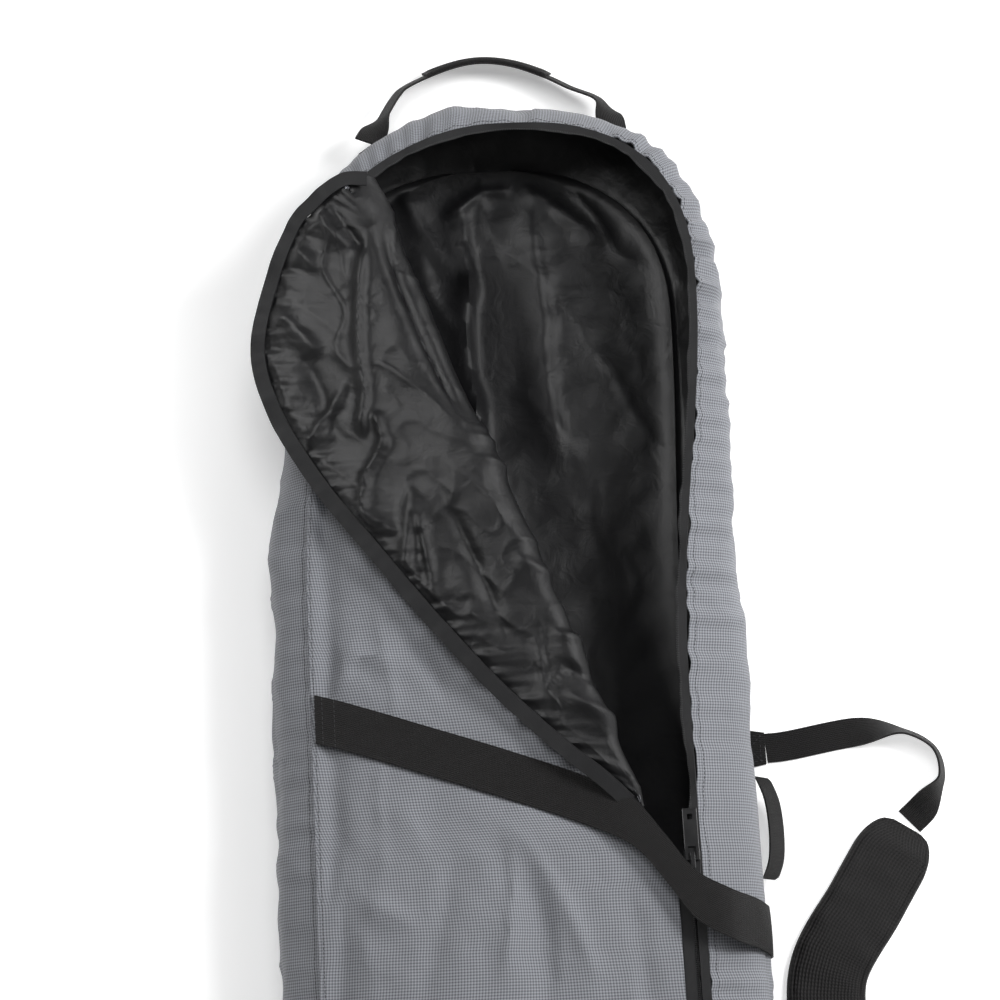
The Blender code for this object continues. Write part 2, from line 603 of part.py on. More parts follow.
def shoulder_strap(finishes):
    def upper_twist(t):
        return math.radians(72) * smooth((t - 0.30) / 0.25) * (1 - smooth((t - 0.80) / 0.17))

    def lower_twist(t):
        return math.radians(70) * smooth((t - 0.66) / 0.12) * (1 - smooth((t - 0.88) / 0.10))

    shoulder_web("shoulder_web_upper", SHOULDER_UPPER, 37, upper_twist, finishes)
    shoulder_web("shoulder_web_lower", SHOULDER_LOWER, 41, lower_twist, finishes,
                 rise=lambda t: 0.0028 * smooth(t / 0.2) * (1 - smooth((t - 0.5) / 0.15)))
    flat = curve_through([(x, y, 0) for x, y in PAD_LINE], 25)
    grid = []
    for n, point in enumerate(flat):
        t = n / 24
        ahead = (flat[min(n + 1, 24)] - flat[max(n - 1, 0)]).normalized()
        side = Vector((ahead.y, -ahead.x, 0))
        ends = min(t, 1 - t) / 0.10
        half = PAD_WIDTH / 2 * (0.42 + 0.58 * math.sqrt(1 - (1 - min(ends, 1.0)) ** 2))
        line = [point + side * half * s + Vector((0, 0, h)) for s, h in
                ((1.0, 0.0055), (0.80, PAD_HEIGHT), (0.0, PAD_HEIGHT + 0.001), (-0.80, PAD_HEIGHT), (-1.0, 0.0055))]
        grid.append(line)
    pad_solid("shoulder_pad", grid, finishes["pad"])
    y = -0.2500
    x = 0.2805
    half = SHOULDER_WEB / 2 + 0.0036
    base = 0.0033
    parts = [box_part((x - half, y - 0.014, base - 0.0020), (x - half + 0.0028, y + 0.014, base + 0.0045), 0.0006)]
    parts.append(box_part((x + half - 0.0028, y - 0.014, base - 0.0020), (x + half, y + 0.014, base + 0.0045), 0.0006))
    for start, low, high in ((-0.0132, 0.0024, 0.0048), (-0.0016, -0.0023, -0.0003), (0.0100, 0.0024, 0.0048)):
        corner = (x + half - 0.0013, y + start + 0.0032, base + high)
        parts.append(box_part((x - half + 0.0013, y + start, base + low), corner, 0.0005))
    join_parts("shoulder_adjuster", parts, finishes["plastic"])
    for which, y in (("upper", 0.2735), ("lower", -0.4600)):
        grid = []
        for x, half in ((0.1690, 0.018), (0.200, 0.018), (ANCHOR_END, 0.0135)):
            grid.append([Vector((x, y - half, 0.0024)), Vector((x, y + half, 0.0024))])
        slab(f"shoulder_anchor_{which}", grid, 0.0022, finishes["webbing"])


def pad_solid(name, grid, material):
    """The pad's crowned top, with a flat underside on the floor."""
    bm = bmesh.new()
    top = [[bm.verts.new(p) for p in line] for line in grid]
    under = [[bm.verts.new((p.x, p.y, 0.0004)) for p in (line[0], line[-1])] for line in grid]
    for i in range(len(grid) - 1):
        for j in range(len(grid[0]) - 1):
            bm.faces.new((top[i][j], top[i + 1][j], top[i + 1][j + 1], top[i][j + 1]))
        bm.faces.new((under[i][0], under[i][1], under[i + 1][1], under[i + 1][0]))
        bm.faces.new((top[i][0], under[i][0], under[i + 1][0], top[i + 1][0]))
        bm.faces.new((top[i][-1], top[i + 1][-1], under[i + 1][1], under[i][1]))
    for i in (0, -1):
        bm.faces.new([*top[i], under[i][1], under[i][0]])
    return add_object(name, bm, material)


# ---- What moves with what: each group hangs from an empty on its joint's axis ----
def fold_axis_point():
    """Half-way along the flap's axis, which lies a little right of the roll, so the closed flap lands in place."""
    r = sum(FOLD_RADIUS) / 2
    spot = fold_point(0.5, -0.57 * r, 0)
    height = sum(roll_base(part) + fold_radius(part) for part in (0, 1)) / 2
    return Vector((spot.x, spot.y, height))


def hang(name, pivot, pieces, parent=None):
    """Parents the pieces to an empty that stands on the joint's axis, and leaves them where they are."""
    empty = bpy.data.objects.new(name, None)
    bpy.context.scene.collection.objects.link(empty)
    empty.location = pivot
    bpy.context.view_layer.update()
    children = [bpy.data.objects[piece] for piece in pieces]
    if parent:
        empty.parent = parent
        empty.matrix_parent_inverse = parent.matrix_world.inverted()
        bpy.context.view_layer.update()
    for child in children:
        child.parent = empty
        child.matrix_parent_inverse = empty.matrix_world.inverted()
    return empty


def assemble():
    hang("flap_axis", fold_axis_point(), ["flap_shell", "flap_lining", "flap_zip_tape", "flap_zip_coil"])
    slider = hang("slider_track", (ZIP_X, SLIDER_Y, BODY_HEIGHT), ["zip_slider"])
    hang("pull_axis", (ZIP_X, SLIDER_Y + PULL_HINGE, PULL_LOW + PULL_THICK / 2), ["zip_pull"], slider)
    for which, end in (("head", 1), ("tail", -1)):
        middle = end_point(2, end, math.pi / 2).x
        hang(f"handle_axis_{which}", (middle, end * HANDLE_Y, HANDLE_Z), [f"handle_{which}", f"handle_grip_{which}"])
    for which, shift in (("upper", 0.0), ("lower", LOWER_STRAP_SHIFT)):
        hang(f"lock_axis_{which}", (LOCK_X + 0.002, strap_path(shift)[-1][1], 0.0033), [f"ladder_lock_{which}"])
    hang("side_loop_axis", (0.2165, 0.202, 0.037), ["side_loop"])
    strap = ["shoulder_web_upper", "shoulder_pad", "shoulder_web_lower", "shoulder_adjuster"]
    hang("shoulder_axis", (ANCHOR_END, 0.0, 0.0013), strap)


def main():
    clear_scene()
    finishes = {
        "shell": finish("grey_check_polyester", (0.30, 0.31, 0.33), 0.62),
        "lining": finish("black_nylon_lining", (0.018, 0.018, 0.020), 0.38),
        "webbing": finish("black_webbing", (0.022, 0.021, 0.021), 0.75),
        "zip": finish("black_zip_tape", (0.025, 0.025, 0.026), 0.55),
        "metal": finish("black_zip_metal", (0.05, 0.05, 0.05), 0.35, 0.8),
        "plastic": finish("black_acetal", (0.02, 0.02, 0.02), 0.4),
        "pad": finish("black_pad_cloth", (0.02, 0.02, 0.022), 0.7),
    }
    outline = flat_outline(0, 0.0)
    flat_panel("back_panel", outline, 0.0, 0.0020, finishes["shell"])
    flat_panel("back_lining", flat_outline(0, 0.0065), 0.0024, 0.0036, finishes["lining"])
    for part in ("right", "head", "left", "tail"):
        gusset_panel(part, finishes["shell"], finishes["lining"])
    front_panel("front_panel", 0.0, 0.0, CLOTH, finishes["shell"])
    front_panel("front_lining", CLOTH + GAP, 0.004, LINING, finishes["lining"])
    fold_roll(finishes["lining"])
    flap(finishes)
    zip_line(finishes)
    zip_slider(finishes)
    cross_strap("upper", 0.0, finishes)
    cross_strap("lower", LOWER_STRAP_SHIFT, finishes)
    handle(1, finishes)
    handle(-1, finishes)
    side_loop(finishes)
    shoulder_strap(finishes)
    assemble()


main()
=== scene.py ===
"""Snowboard bag: the sewn cloth, webbing and zips of a long bag whose head end lies open.
Metres, +Z up, +Y towards the head end."""

import math

import bpy
import bmesh
import numpy as np
from bpy.props import FloatProperty, FloatVectorProperty, PointerProperty
from mathutils import Matrix, Vector


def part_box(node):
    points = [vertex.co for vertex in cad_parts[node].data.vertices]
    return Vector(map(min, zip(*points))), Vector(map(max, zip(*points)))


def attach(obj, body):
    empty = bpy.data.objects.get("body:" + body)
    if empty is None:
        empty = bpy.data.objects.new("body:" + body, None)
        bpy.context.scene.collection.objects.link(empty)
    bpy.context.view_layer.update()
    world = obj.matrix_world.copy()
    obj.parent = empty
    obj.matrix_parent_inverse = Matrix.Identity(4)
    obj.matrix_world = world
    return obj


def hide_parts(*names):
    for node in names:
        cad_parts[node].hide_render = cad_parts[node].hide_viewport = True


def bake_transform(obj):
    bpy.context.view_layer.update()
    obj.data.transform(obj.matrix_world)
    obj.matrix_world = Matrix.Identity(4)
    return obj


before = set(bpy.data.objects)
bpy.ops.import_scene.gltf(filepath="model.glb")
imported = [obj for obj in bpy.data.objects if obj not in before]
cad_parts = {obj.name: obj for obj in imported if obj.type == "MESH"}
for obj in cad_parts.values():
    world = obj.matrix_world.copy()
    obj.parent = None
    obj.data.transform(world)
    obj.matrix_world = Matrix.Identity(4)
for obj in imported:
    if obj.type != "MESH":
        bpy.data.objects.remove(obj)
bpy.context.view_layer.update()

bl_info = {
    "name": "Snowboard bag",
    "version": (1, 0, 0),
    "blender": (4, 5, 0),
    "location": "3D View > Sidebar > Bag",
    "description": "Sews a long board bag with an open flap, zips, webs and stitching",
    "category": "Add Mesh",
}

# ---- The bag's outline, as cut ----
SEAM_HEIGHT = float(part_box("gusset_right")[1][2])
SIDE_END = 0.66
# Rows of the side wall, from the back seam up to the front seam: height, half width, reach of the round ends beyond
# SIDE_END, lean to the right, and how square the ends are
SECTION = (
    (0.0024, 0.165, 0.150, 0.000, 0.85),
    (0.022, 0.187, 0.176, 0.006, 0.87),
    (0.050, 0.198, 0.188, 0.012, 0.88),
    (0.078, 0.188, 0.178, 0.010, 0.84),
    (SEAM_HEIGHT, 0.1545, 0.155, 0.0035, 0.78),
)
BACK_SEAM, FRONT_SEAM = 0, 4
WALL_GIRTH = 0.140
CLOTH = 0.0011
LINING = 0.0008
GAP = 0.0005
WEBBING = 0.0018
ZIP_X = 0.150
ZIP_LEVEL = SEAM_HEIGHT + 0.0008
TAPE_REACH = 0.0078
SLIDER_Y = 0.170
FRONT_CROWN = 0.012
FOLD_TOP = np.array((-0.079, 0.758))
FOLD_FOOT = np.array((0.1105, 0.226))
FOLD_LENGTH = float(np.linalg.norm(FOLD_FOOT - FOLD_TOP))
FOLD_ALONG = (FOLD_FOOT - FOLD_TOP) / FOLD_LENGTH
FOLD_RIGHT = np.array((-FOLD_ALONG[1], FOLD_ALONG[0]))
FOLD_RADIUS = (0.026, 0.007)
FLAP_SLOPE = (0.42, 0.07)
FLAP_SEAM = 0.0100
FLAP_TAPE = 0.0125
# The flap's free edge, as distances along the fold and to the left of it
FREE_EDGE = ((0.004, 0.007), (-0.003, 0.024), (-0.003, 0.041), (0.002, 0.060), (0.012, 0.084),
             (0.050, 0.122), (0.100, 0.154), (0.160, 0.160), (0.230, 0.149), (0.300, 0.129),
             (0.380, 0.104), (0.450, 0.078), (0.510, 0.050), (0.546, 0.029), (0.572, 0.016))
UPPER_STRAP = ((-0.1475, 0.301), (-0.120, 0.292), (-0.060, 0.270), (0.003, 0.247), (0.063, 0.224),
               (0.103, 0.203), (0.128, 0.172), (0.150, 0.142), (0.176, 0.126))
STRAP_SHIFT = -0.62
HANDLE_Y = 0.829
# From the left foot for the first five points and from the right foot for the rest: across, out and height
HANDLE_ROUTE = ((0.0, 0.0, 0.043), (0.007, 0.016, 0.035), (0.0235, 0.050, 0.023), (0.037, 0.064, 0.019),
                (0.072, 0.079, 0.017), (-0.116, 0.0840, 0.017), (-0.086, 0.0795, 0.017), (-0.056, 0.067, 0.017),
                (-0.034, 0.0535, 0.019), (-0.010, 0.038, 0.026), (-0.002, 0.017, 0.035), (0.0, 0.0, 0.043))
SWING_X = 0.2255
FOOT_X = 0.2282
SHOULDER_UPPER = ((FOOT_X, 0.2735), (0.246, 0.2750), (0.300, 0.2830), (0.338, 0.2820), (0.366, 0.266),
                  (0.371, 0.240), (0.357, 0.219), (0.3415, 0.2050))
PAD_LINE = ((0.3390, 0.2005), (0.300, 0.142), (0.262, 0.082), (0.2615, 0.010), (0.268, -0.070), (0.274, -0.140))
SHOULDER_LOWER = ((0.2742, -0.1408), (0.279, -0.210), (0.281, -0.290), (0.280, -0.370), (0.273, -0.425),
                  (0.252, -0.4575), (FOOT_X, -0.4600))
# Creases of each cloth: where one starts and ends in plan, its width, its height and its lean
BACK_CREASES = (
    ((-0.006, 0.782), (-0.001, 0.680), 0.0085, 0.0085, 0.3),
    ((-0.001, 0.730), (0.002, 0.550), 0.0120, 0.0125, 0.8),
    ((0.000, 0.610), (0.008, 0.500), 0.0120, 0.0105, 0.8),
    ((0.004, 0.540), (0.030, 0.430), 0.0100, 0.0075, 0.2),
    ((-0.026, 0.764), (0.012, 0.792), 0.0075, 0.0070, -0.3),
    ((0.004, 0.790), (0.040, 0.790), 0.0070, 0.0060, -0.2),
    ((0.020, 0.760), (0.034, 0.560), 0.0180, -0.0050, 0.0),
    ((0.052, 0.785), (0.062, 0.640), 0.0160, 0.0090, 0.5),
    ((0.060, 0.680), (0.070, 0.520), 0.0150, 0.0080, 0.5),
    ((-0.064, 0.810), (-0.018, 0.710), 0.0100, 0.0050, 0.0),
    ((0.040, 0.800), (0.118, 0.734), 0.0100, 0.0052, 0.2),
    ((-0.050, 0.740), (-0.016, 0.650), 0.0080, 0.0040, 0.3),
)
FRONT_CREASES = (
    ((-0.134, 0.354), (-0.074, 0.342), 0.0070, 0.0070, 0.3),
    ((-0.118, 0.348), (-0.138, 0.316), 0.0065, 0.0056, -0.3),
    ((-0.070, 0.370), (-0.041, 0.310), 0.0070, -0.0046, 0.0),
    ((0.006, 0.212), (-0.011, 0.070), 0.0070, 0.0046, -0.5),
    ((0.009, 0.206), (0.072, 0.070), 0.0070, 0.0046, 0.5),
    ((0.008, 0.200), (0.028, 0.030), 0.0200, -0.0095, 0.0),
    ((-0.127, 0.200), (-0.143, 0.092), 0.0060, 0.0042, 0.0),
    ((-0.119, 0.156), (-0.064, 0.128), 0.0065, 0.0046, 0.2),
    ((-0.040, 0.190), (-0.082, 0.050), 0.0110, -0.0046, 0.0),
    ((0.095, 0.170), (0.105, -0.050), 0.0110, -0.0046, 0.0),
    ((-0.060, -0.020), (0.030, -0.110), 0.0100, 0.0048, 0.3),
    ((0.060, -0.180), (-0.020, -0.290), 0.0110, -0.0052, 0.0),
    ((-0.110, -0.260), (-0.040, -0.345), 0.0090, 0.0046, 0.2),
    ((0.080, -0.480), (0.010, -0.600), 0.0110, 0.0050, -0.2),
    ((-0.090, -0.520), (-0.040, -0.660), 0.0100, -0.0046, 0.0),
)
FLAP_CREASES = (
    ((-0.087, 0.700), (-0.093, 0.560), 0.0062, 0.0085, 0.5),
    ((-0.091, 0.585), (-0.100, 0.525), 0.0055, 0.0066, 0.4),
    ((-0.074, 0.720), (-0.002, 0.515), 0.0130, -0.0140, -0.4),
    ((-0.106, 0.580), (-0.158, 0.512), 0.0060, 0.0064, 0.3),
    ((-0.088, 0.552), (-0.078, 0.514), 0.0050, 0.0060, 0.0),
    ((-0.076, 0.528), (-0.102, 0.488), 0.0050, 0.0064, 0.3),
    ((-0.096, 0.502), (-0.103, 0.464), 0.0050, 0.0052, 0.0),
    ((-0.137, 0.745), (-0.100, 0.685), 0.0062, 0.0062, 0.3),
    ((-0.122, 0.735), (-0.086, 0.680), 0.0060, -0.0048, 0.0),
    ((-0.160, 0.720), (-0.126, 0.668), 0.0060, 0.0044, 0.2),
    ((-0.172, 0.650), (-0.128, 0.600), 0.0080, 0.0050, 0.2),
    ((-0.150, 0.610), (-0.118, 0.520), 0.0090, -0.0045, 0.0),
    ((-0.060, 0.485), (-0.074, 0.392), 0.0062, 0.0058, 0.3),
    ((-0.060, 0.482), (-0.045, 0.384), 0.0062, 0.0052, -0.3),
    ((-0.036, 0.478), (0.014, 0.346), 0.0080, -0.0055, 0.0),
    ((-0.110, 0.470), (-0.066, 0.440), 0.0060, 0.0040, 0.2),
    ((-0.014, 0.524), (0.022, 0.512), 0.0042, 0.0030, 0.0),
    ((-0.004, 0.502), (0.028, 0.492), 0.0042, 0.0026, 0.0),
    ((0.044, 0.358), (0.100, 0.338), 0.0055, 0.0048, 0.4),
    ((0.054, 0.310), (0.112, 0.268), 0.0060, 0.0052, 0.4),
    ((0.050, 0.334), (0.094, 0.302), 0.0060, -0.0038, 0.0),
    ((0.020, 0.420), (0.054, 0.400), 0.0050, 0.0030, 0.2),
)


class BagSizes(bpy.types.PropertyGroup):
    """Sizes of the cloth, webs, thread and zip teeth"""

    mesh_step: FloatProperty(name="Mesh step", description="Distance between the points of the large panels",
                             default=0.0042, min=0.002, unit="LENGTH")
    check: FloatProperty(name="Check", description="Pitch of the woven check", default=0.0024, unit="LENGTH")
    rib: FloatProperty(name="Web rib", description="Pitch of the ribs in the webbing", default=0.0016, unit="LENGTH")
    stitch: FloatProperty(name="Stitch", description="Length of one stitch", default=0.0030, unit="LENGTH")
    thread: FloatProperty(name="Thread", description="Thickness of the sewing thread", default=0.0006, unit="LENGTH")
    tooth_pitch: FloatProperty(name="Tooth pitch", description="Distance between zip teeth", default=0.0015,
                               unit="LENGTH")
    creases: FloatProperty(name="Creases", description="Depth of the creases, as a part of the real one", default=1.0)


class BagColours(bpy.types.PropertyGroup):
    """Colours of the cloth, webs and fittings"""

    check_light: FloatVectorProperty(name="Light check", description="Light yarn of the shell", subtype="COLOR",
                                     default=(0.290, 0.300, 0.325), min=0, max=1)
    check_dark: FloatVectorProperty(name="Dark check", description="Dark yarn of the shell", subtype="COLOR",
                                    default=(0.088, 0.092, 0.106), min=0, max=1)
    lining: FloatVectorProperty(name="Lining", description="Nylon lining", subtype="COLOR",
                                default=(0.0065, 0.0065, 0.0072), min=0, max=1)
    web: FloatVectorProperty(name="Webbing", description="Straps and handles", subtype="COLOR",
                             default=(0.0105, 0.0098, 0.0100), min=0, max=1)
    tape: FloatVectorProperty(name="Zip tape", description="Tape and binding", subtype="COLOR",
                              default=(0.012, 0.012, 0.013), min=0, max=1)
    thread: FloatVectorProperty(name="Thread", description="Sewing thread", subtype="COLOR",
                                default=(0.030, 0.030, 0.033), min=0, max=1)


# ---- Curves and cloth grids ----
SHARP_ANGLE = math.radians(50)


def smooth(value):
    value = np.clip(value, 0.0, 1.0)
    return value * value * (3 - 2 * value)


def mix(a, b, t):
    return a + (b - a) * t


def through(knots, count):
    """A smooth curve through the knots, with count points spread evenly over the knots' numbers."""
    knots = np.asarray(knots, float)
    t = np.linspace(0, len(knots) - 1, count)
    i = np.minimum(t.astype(int), len(knots) - 2)
    f = (t - i).reshape((-1,) + (1,) * (knots.ndim - 1))
    ends = np.concatenate([[2 * knots[0] - knots[1]], knots, [2 * knots[-1] - knots[-2]]])
    a, b, c, d = (ends[i + k] for k in range(4))
    return 0.5 * (2 * b + (c - a) * f + (2 * a - 5 * b + 4 * c - d) * f**2 + (3 * b - a - 3 * c + d) * f**3)


def even(points, count):
    """The same line with its points at even distances."""
    steps = np.linalg.norm(np.diff(points, axis=0), axis=1)
    run = np.concatenate([[0], np.cumsum(steps)])
    goal = np.linspace(0, run[-1], count)
    return np.stack([np.interp(goal, run, points[:, k]) for k in range(points.shape[1])], axis=1)


def line_through(knots, count):
    return even(through(knots, 24 * len(knots)), count)


def unit(vectors):
    return vectors / np.maximum(np.linalg.norm(vectors, axis=-1, keepdims=True), 1e-12)


def normals_of(grid, ring=False):
    along = np.roll(grid, -1, 0) - np.roll(grid, 1, 0) if ring else np.gradient(grid, axis=0)
    return unit(np.cross(along, np.gradient(grid, axis=1)))


def wander(seed, x, y, size, stretch=1.0):
    """A soft uneven surface between about -1 and 1, with bumps of this size; stretch lengthens them along y."""
    draw = np.random.default_rng(seed)
    total = 0.0
    for _ in range(7):
        turn, pace, phase = draw.uniform(0, math.tau), draw.uniform(0.55, 1.5), draw.uniform(0, math.tau)
        total = total + np.sin((x * math.cos(turn) + y * math.sin(turn) / stretch) * math.tau * pace / size + phase)
    return total / 3.2


def crease(x, y, start, end, width, height, lean=0.0):
    """A crease along a line: a ridge, or a valley where height is negative, that dies out at both ends. lean from
    -1 to 1 makes its left or right side steeper."""
    dx, dy = end[0] - start[0], end[1] - start[1]
    length = math.hypot(dx, dy)
    t = ((x - start[0]) * dx + (y - start[1]) * dy) / length**2
    bow = 0.05 * length * np.sin(t * math.pi) * math.sin(13 * start[0] + 7 * start[1])
    off = ((x - start[0]) * dy - (y - start[1]) * dx) / length + bow
    side = off / (width * (1 + 0.75 * lean * np.sign(off)))
    ends = smooth(t / 0.35 + 0.12) * smooth((1 - t) / 0.35 + 0.12)
    return height * ends / (1 + side**2) ** 1.6


def creased(lift, x, y, table):
    """The lift with each crease of this table added."""
    for row in table:
        lift = lift + crease(x, y, *row)
    return lift


def wrinkles(seed, x, y, size, stretch=1.0, sharp=5.0):
    """A net of thin ridges from 0 to 1, as in crumpled nylon, with cells of about this size."""
    sway = 0.25 * size * wander(seed + 500, x, y, size * 1.4)
    return (1 - np.minimum(np.abs(wander(seed, x + sway, y - sway, size * 2, stretch)), 1.0)) ** sharp


def run_lengths(grid, ring):
    """Distance along and across a cloth grid, in metres, for its weave."""
    rows = np.concatenate([grid, grid[:1]]) if ring else grid
    along = np.linalg.norm(np.diff(rows, axis=0), axis=2).mean(axis=1)
    across = np.linalg.norm(np.diff(rows, axis=1), axis=2)
    u = np.concatenate([[0], np.cumsum(along)])
    v = np.concatenate([np.zeros((len(rows), 1)), np.cumsum(across, axis=1)], axis=1)
    return np.broadcast_to(u[:, None], v.shape), v - v[:, -1:] / 2


def linked(name, data):
    """A new object with this data, in the scene."""
    made = bpy.data.objects.new(name, data)
    bpy.context.scene.collection.objects.link(made)
    return made


def mesh_object(name, points, faces, uvs, material):
    mesh = bpy.data.meshes.new(name)
    mesh.vertices.add(len(points))
    mesh.vertices.foreach_set("co", np.ascontiguousarray(points, np.float32).ravel())
    mesh.loops.add(faces.size)
    mesh.loops.foreach_set("vertex_index", np.ascontiguousarray(faces, np.int32).ravel())
    mesh.polygons.add(len(faces))
    mesh.polygons.foreach_set("loop_start", np.arange(len(faces), dtype=np.int32) * faces.shape[1])
    mesh.update(calc_edges=True)
    layer = mesh.uv_layers.new(name="UVMap")
    layer.data.foreach_set("uv", np.ascontiguousarray(uvs, np.float32).ravel())
    mesh.materials.append(material)
    mesh.shade_smooth()
    mesh.set_sharp_from_angle(angle=SHARP_ANGLE)
    obj = linked(name, mesh)
    return obj


def cloth(name, grid, thickness, material, ring=False):
    """A closed sheet of cloth. Its face follows the grid of points, looking along x across, and its back lies one
    thickness behind. A ring joins the last row of the grid to the first."""
    rows, columns = grid.shape[:2]
    back = grid - normals_of(grid, ring) * thickness
    u, v = run_lengths(grid, ring)
    uv = np.stack([u, v], axis=2).reshape(-1, 2)
    spots = np.arange(rows * columns).reshape(rows, columns)
    stamps = np.arange(len(uv)).reshape(-1, columns)
    if ring:
        spots = np.concatenate([spots, spots[:1]])

    def quads(index, offset):
        a, b, c, d = index[:-1, :-1], index[1:, :-1], index[1:, 1:], index[:-1, 1:]
        face = np.stack([a, b, c, d], axis=2).reshape(-1, 4)
        under = face[:, ::-1] + offset
        rims = [(index[1:, 0], index[:-1, 0]), (index[:-1, -1], index[1:, -1])]
        if not ring:
            rims += [(index[0, :-1], index[0, 1:]), (index[-1, 1:], index[-1, :-1])]
        edges = [np.stack([p, q, q + offset, p + offset], axis=1) for p, q in rims]
        return np.concatenate([face, under, *edges])

    faces = quads(spots, rows * columns)
    marks = quads(stamps, 0)
    points = np.concatenate([grid.reshape(-1, 3), back.reshape(-1, 3)])
    return mesh_object(name, points, faces, uv[marks.ravel()], material)


def tube(name, rings, material):
    """A closed body through rings of points, capped at both ends."""
    count, across = rings.shape[:2]
    bm = bmesh.new()
    layer = bm.loops.layers.uv.new("UVMap")
    loops = [[bm.verts.new(p) for p in ring] for ring in rings]
    run = np.concatenate([[0], np.cumsum(np.linalg.norm(np.diff(rings.mean(axis=1), axis=0), axis=1))])
    for i in range(count - 1):
        girth = 0.0
        for j in range(across):
            k = (j + 1) % across
            step = float(np.linalg.norm(rings[i, k] - rings[i, j]))
            face = bm.faces.new((loops[i][j], loops[i + 1][j], loops[i + 1][k], loops[i][k]))
            spots = ((run[i], girth), (run[i + 1], girth), (run[i + 1], girth + step), (run[i], girth + step))
            for corner, spot in zip(face.loops, spots):
                corner[layer].uv = spot
            girth += step
    bm.faces.new(loops[0])
    bm.faces.new(loops[-1][::-1])
    bmesh.ops.recalc_face_normals(bm, faces=bm.faces)
    mesh = bpy.data.meshes.new(name)
    bm.to_mesh(mesh)
    bm.free()
    mesh.materials.append(material)
    mesh.shade_smooth()
    mesh.set_sharp_from_angle(angle=SHARP_ANGLE)
    obj = linked(name, mesh)
    return obj


def web(name, path, sides, width, thickness, material, bow=0.0004, columns=9):
    """A woven web along a path; sides gives the direction of its width, and bow how far its middle stands up."""
    across = np.linspace(-0.5, 0.5, columns)
    grid = path[:, None] + sides[:, None] * (across[None, :, None] * np.reshape(width, (-1, 1, 1)))
    grid = grid + normals_of(grid) * (bow * (1 - (2 * across) ** 2))[None, :, None]
    return cloth(name, grid, thickness, material)


def keep(obj, body, slot, *nodes):
    """The piece rides on this body and stands for these solids; slot is not used."""
    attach(obj, body)
    if nodes:
        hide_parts(*nodes)
    return obj


# ---- Side wall ----
def side_row(row, side, y, inset=0.0):
    height, half, _, lean, _ = SECTION[row]
    y = np.asarray(y, float)
    head = smooth((y - 0.40) / 0.26)
    half = half - (0.016 if row in (1, 2, 3) else 0.004) * head
    x = lean + 0.013 * head + side * (half - inset)
    if side > 0 and row >= 3:
        x = x + 0.030 * smooth((y - 0.30) / 0.36) * (0.45 if row == 3 else 0.72)
    return np.stack([x, y, np.full_like(y, height)], axis=-1)


def end_row(row, end, angle, inset=0.0):
    height, _, reach, _, roundness = SECTION[row]
    right, left = (side_row(row, side, end * SIDE_END)[0] for side in (1, -1))
    middle, half = (right + left) / 2, (right - left) / 2 - inset
    c, s = np.cos(angle), np.maximum(np.sin(angle), 0)
    x = middle + half * np.sign(c) * np.abs(c) ** roundness
    sag = 0.014 * smooth((middle - x) / 0.14) if end > 0 and row == FRONT_SEAM else 0.0
    y = end * (SIDE_END + (reach - inset) * s**roundness - sag * s)
    return np.stack([x, y, np.full_like(x, height)], axis=-1)


def seam_x(row, side, y, inset=0.0):
    """Where that row of the side wall runs on its left (-1) or right (+1), round both ends."""
    x = side_row(row, side, np.clip(y, -SIDE_END, SIDE_END), inset)[..., 0]
    for end in (1, -1):
        angle = np.linspace(0, math.pi / 2, 200) if side > 0 else np.linspace(math.pi, math.pi / 2, 200)
        arc = end_row(row, end, angle, inset)
        x = np.where(end * y > SIDE_END, np.interp(end * y, end * arc[:, 1], arc[:, 0]), x)
    return x


def wall_ring(row, step):
    """One line of the side wall all round: up the right side, round the head, down the left, round the tail."""
    side_count, end_count = int(2 * SIDE_END / step), int(0.46 / step)
    y = np.linspace(-SIDE_END, SIDE_END, side_count, endpoint=False)
    angle = np.linspace(0, math.pi, end_count, endpoint=False)
    return np.concatenate([side_row(row, 1, y), end_row(row, 1, angle),
                           side_row(row, -1, -y), end_row(row, -1, math.pi - angle)])


def calm_wall(x, y):
    """Near 0 where webs are sewn to the side wall, which lies flat there, and 1 elsewhere."""
    held = np.zeros_like(x)
    for middle, reach in ((0.190, 0.105), (-0.490, 0.075)):
        held = np.maximum(held, smooth(1.4 - np.abs(y - middle) / reach) * (x > 0))
    for end in (1, -1):
        held = np.maximum(held, 0.9 * smooth(1.5 - np.abs(y - end * HANDLE_Y) / 0.018) * (np.abs(x) > 0.06))
    return 1 - 0.92 * held


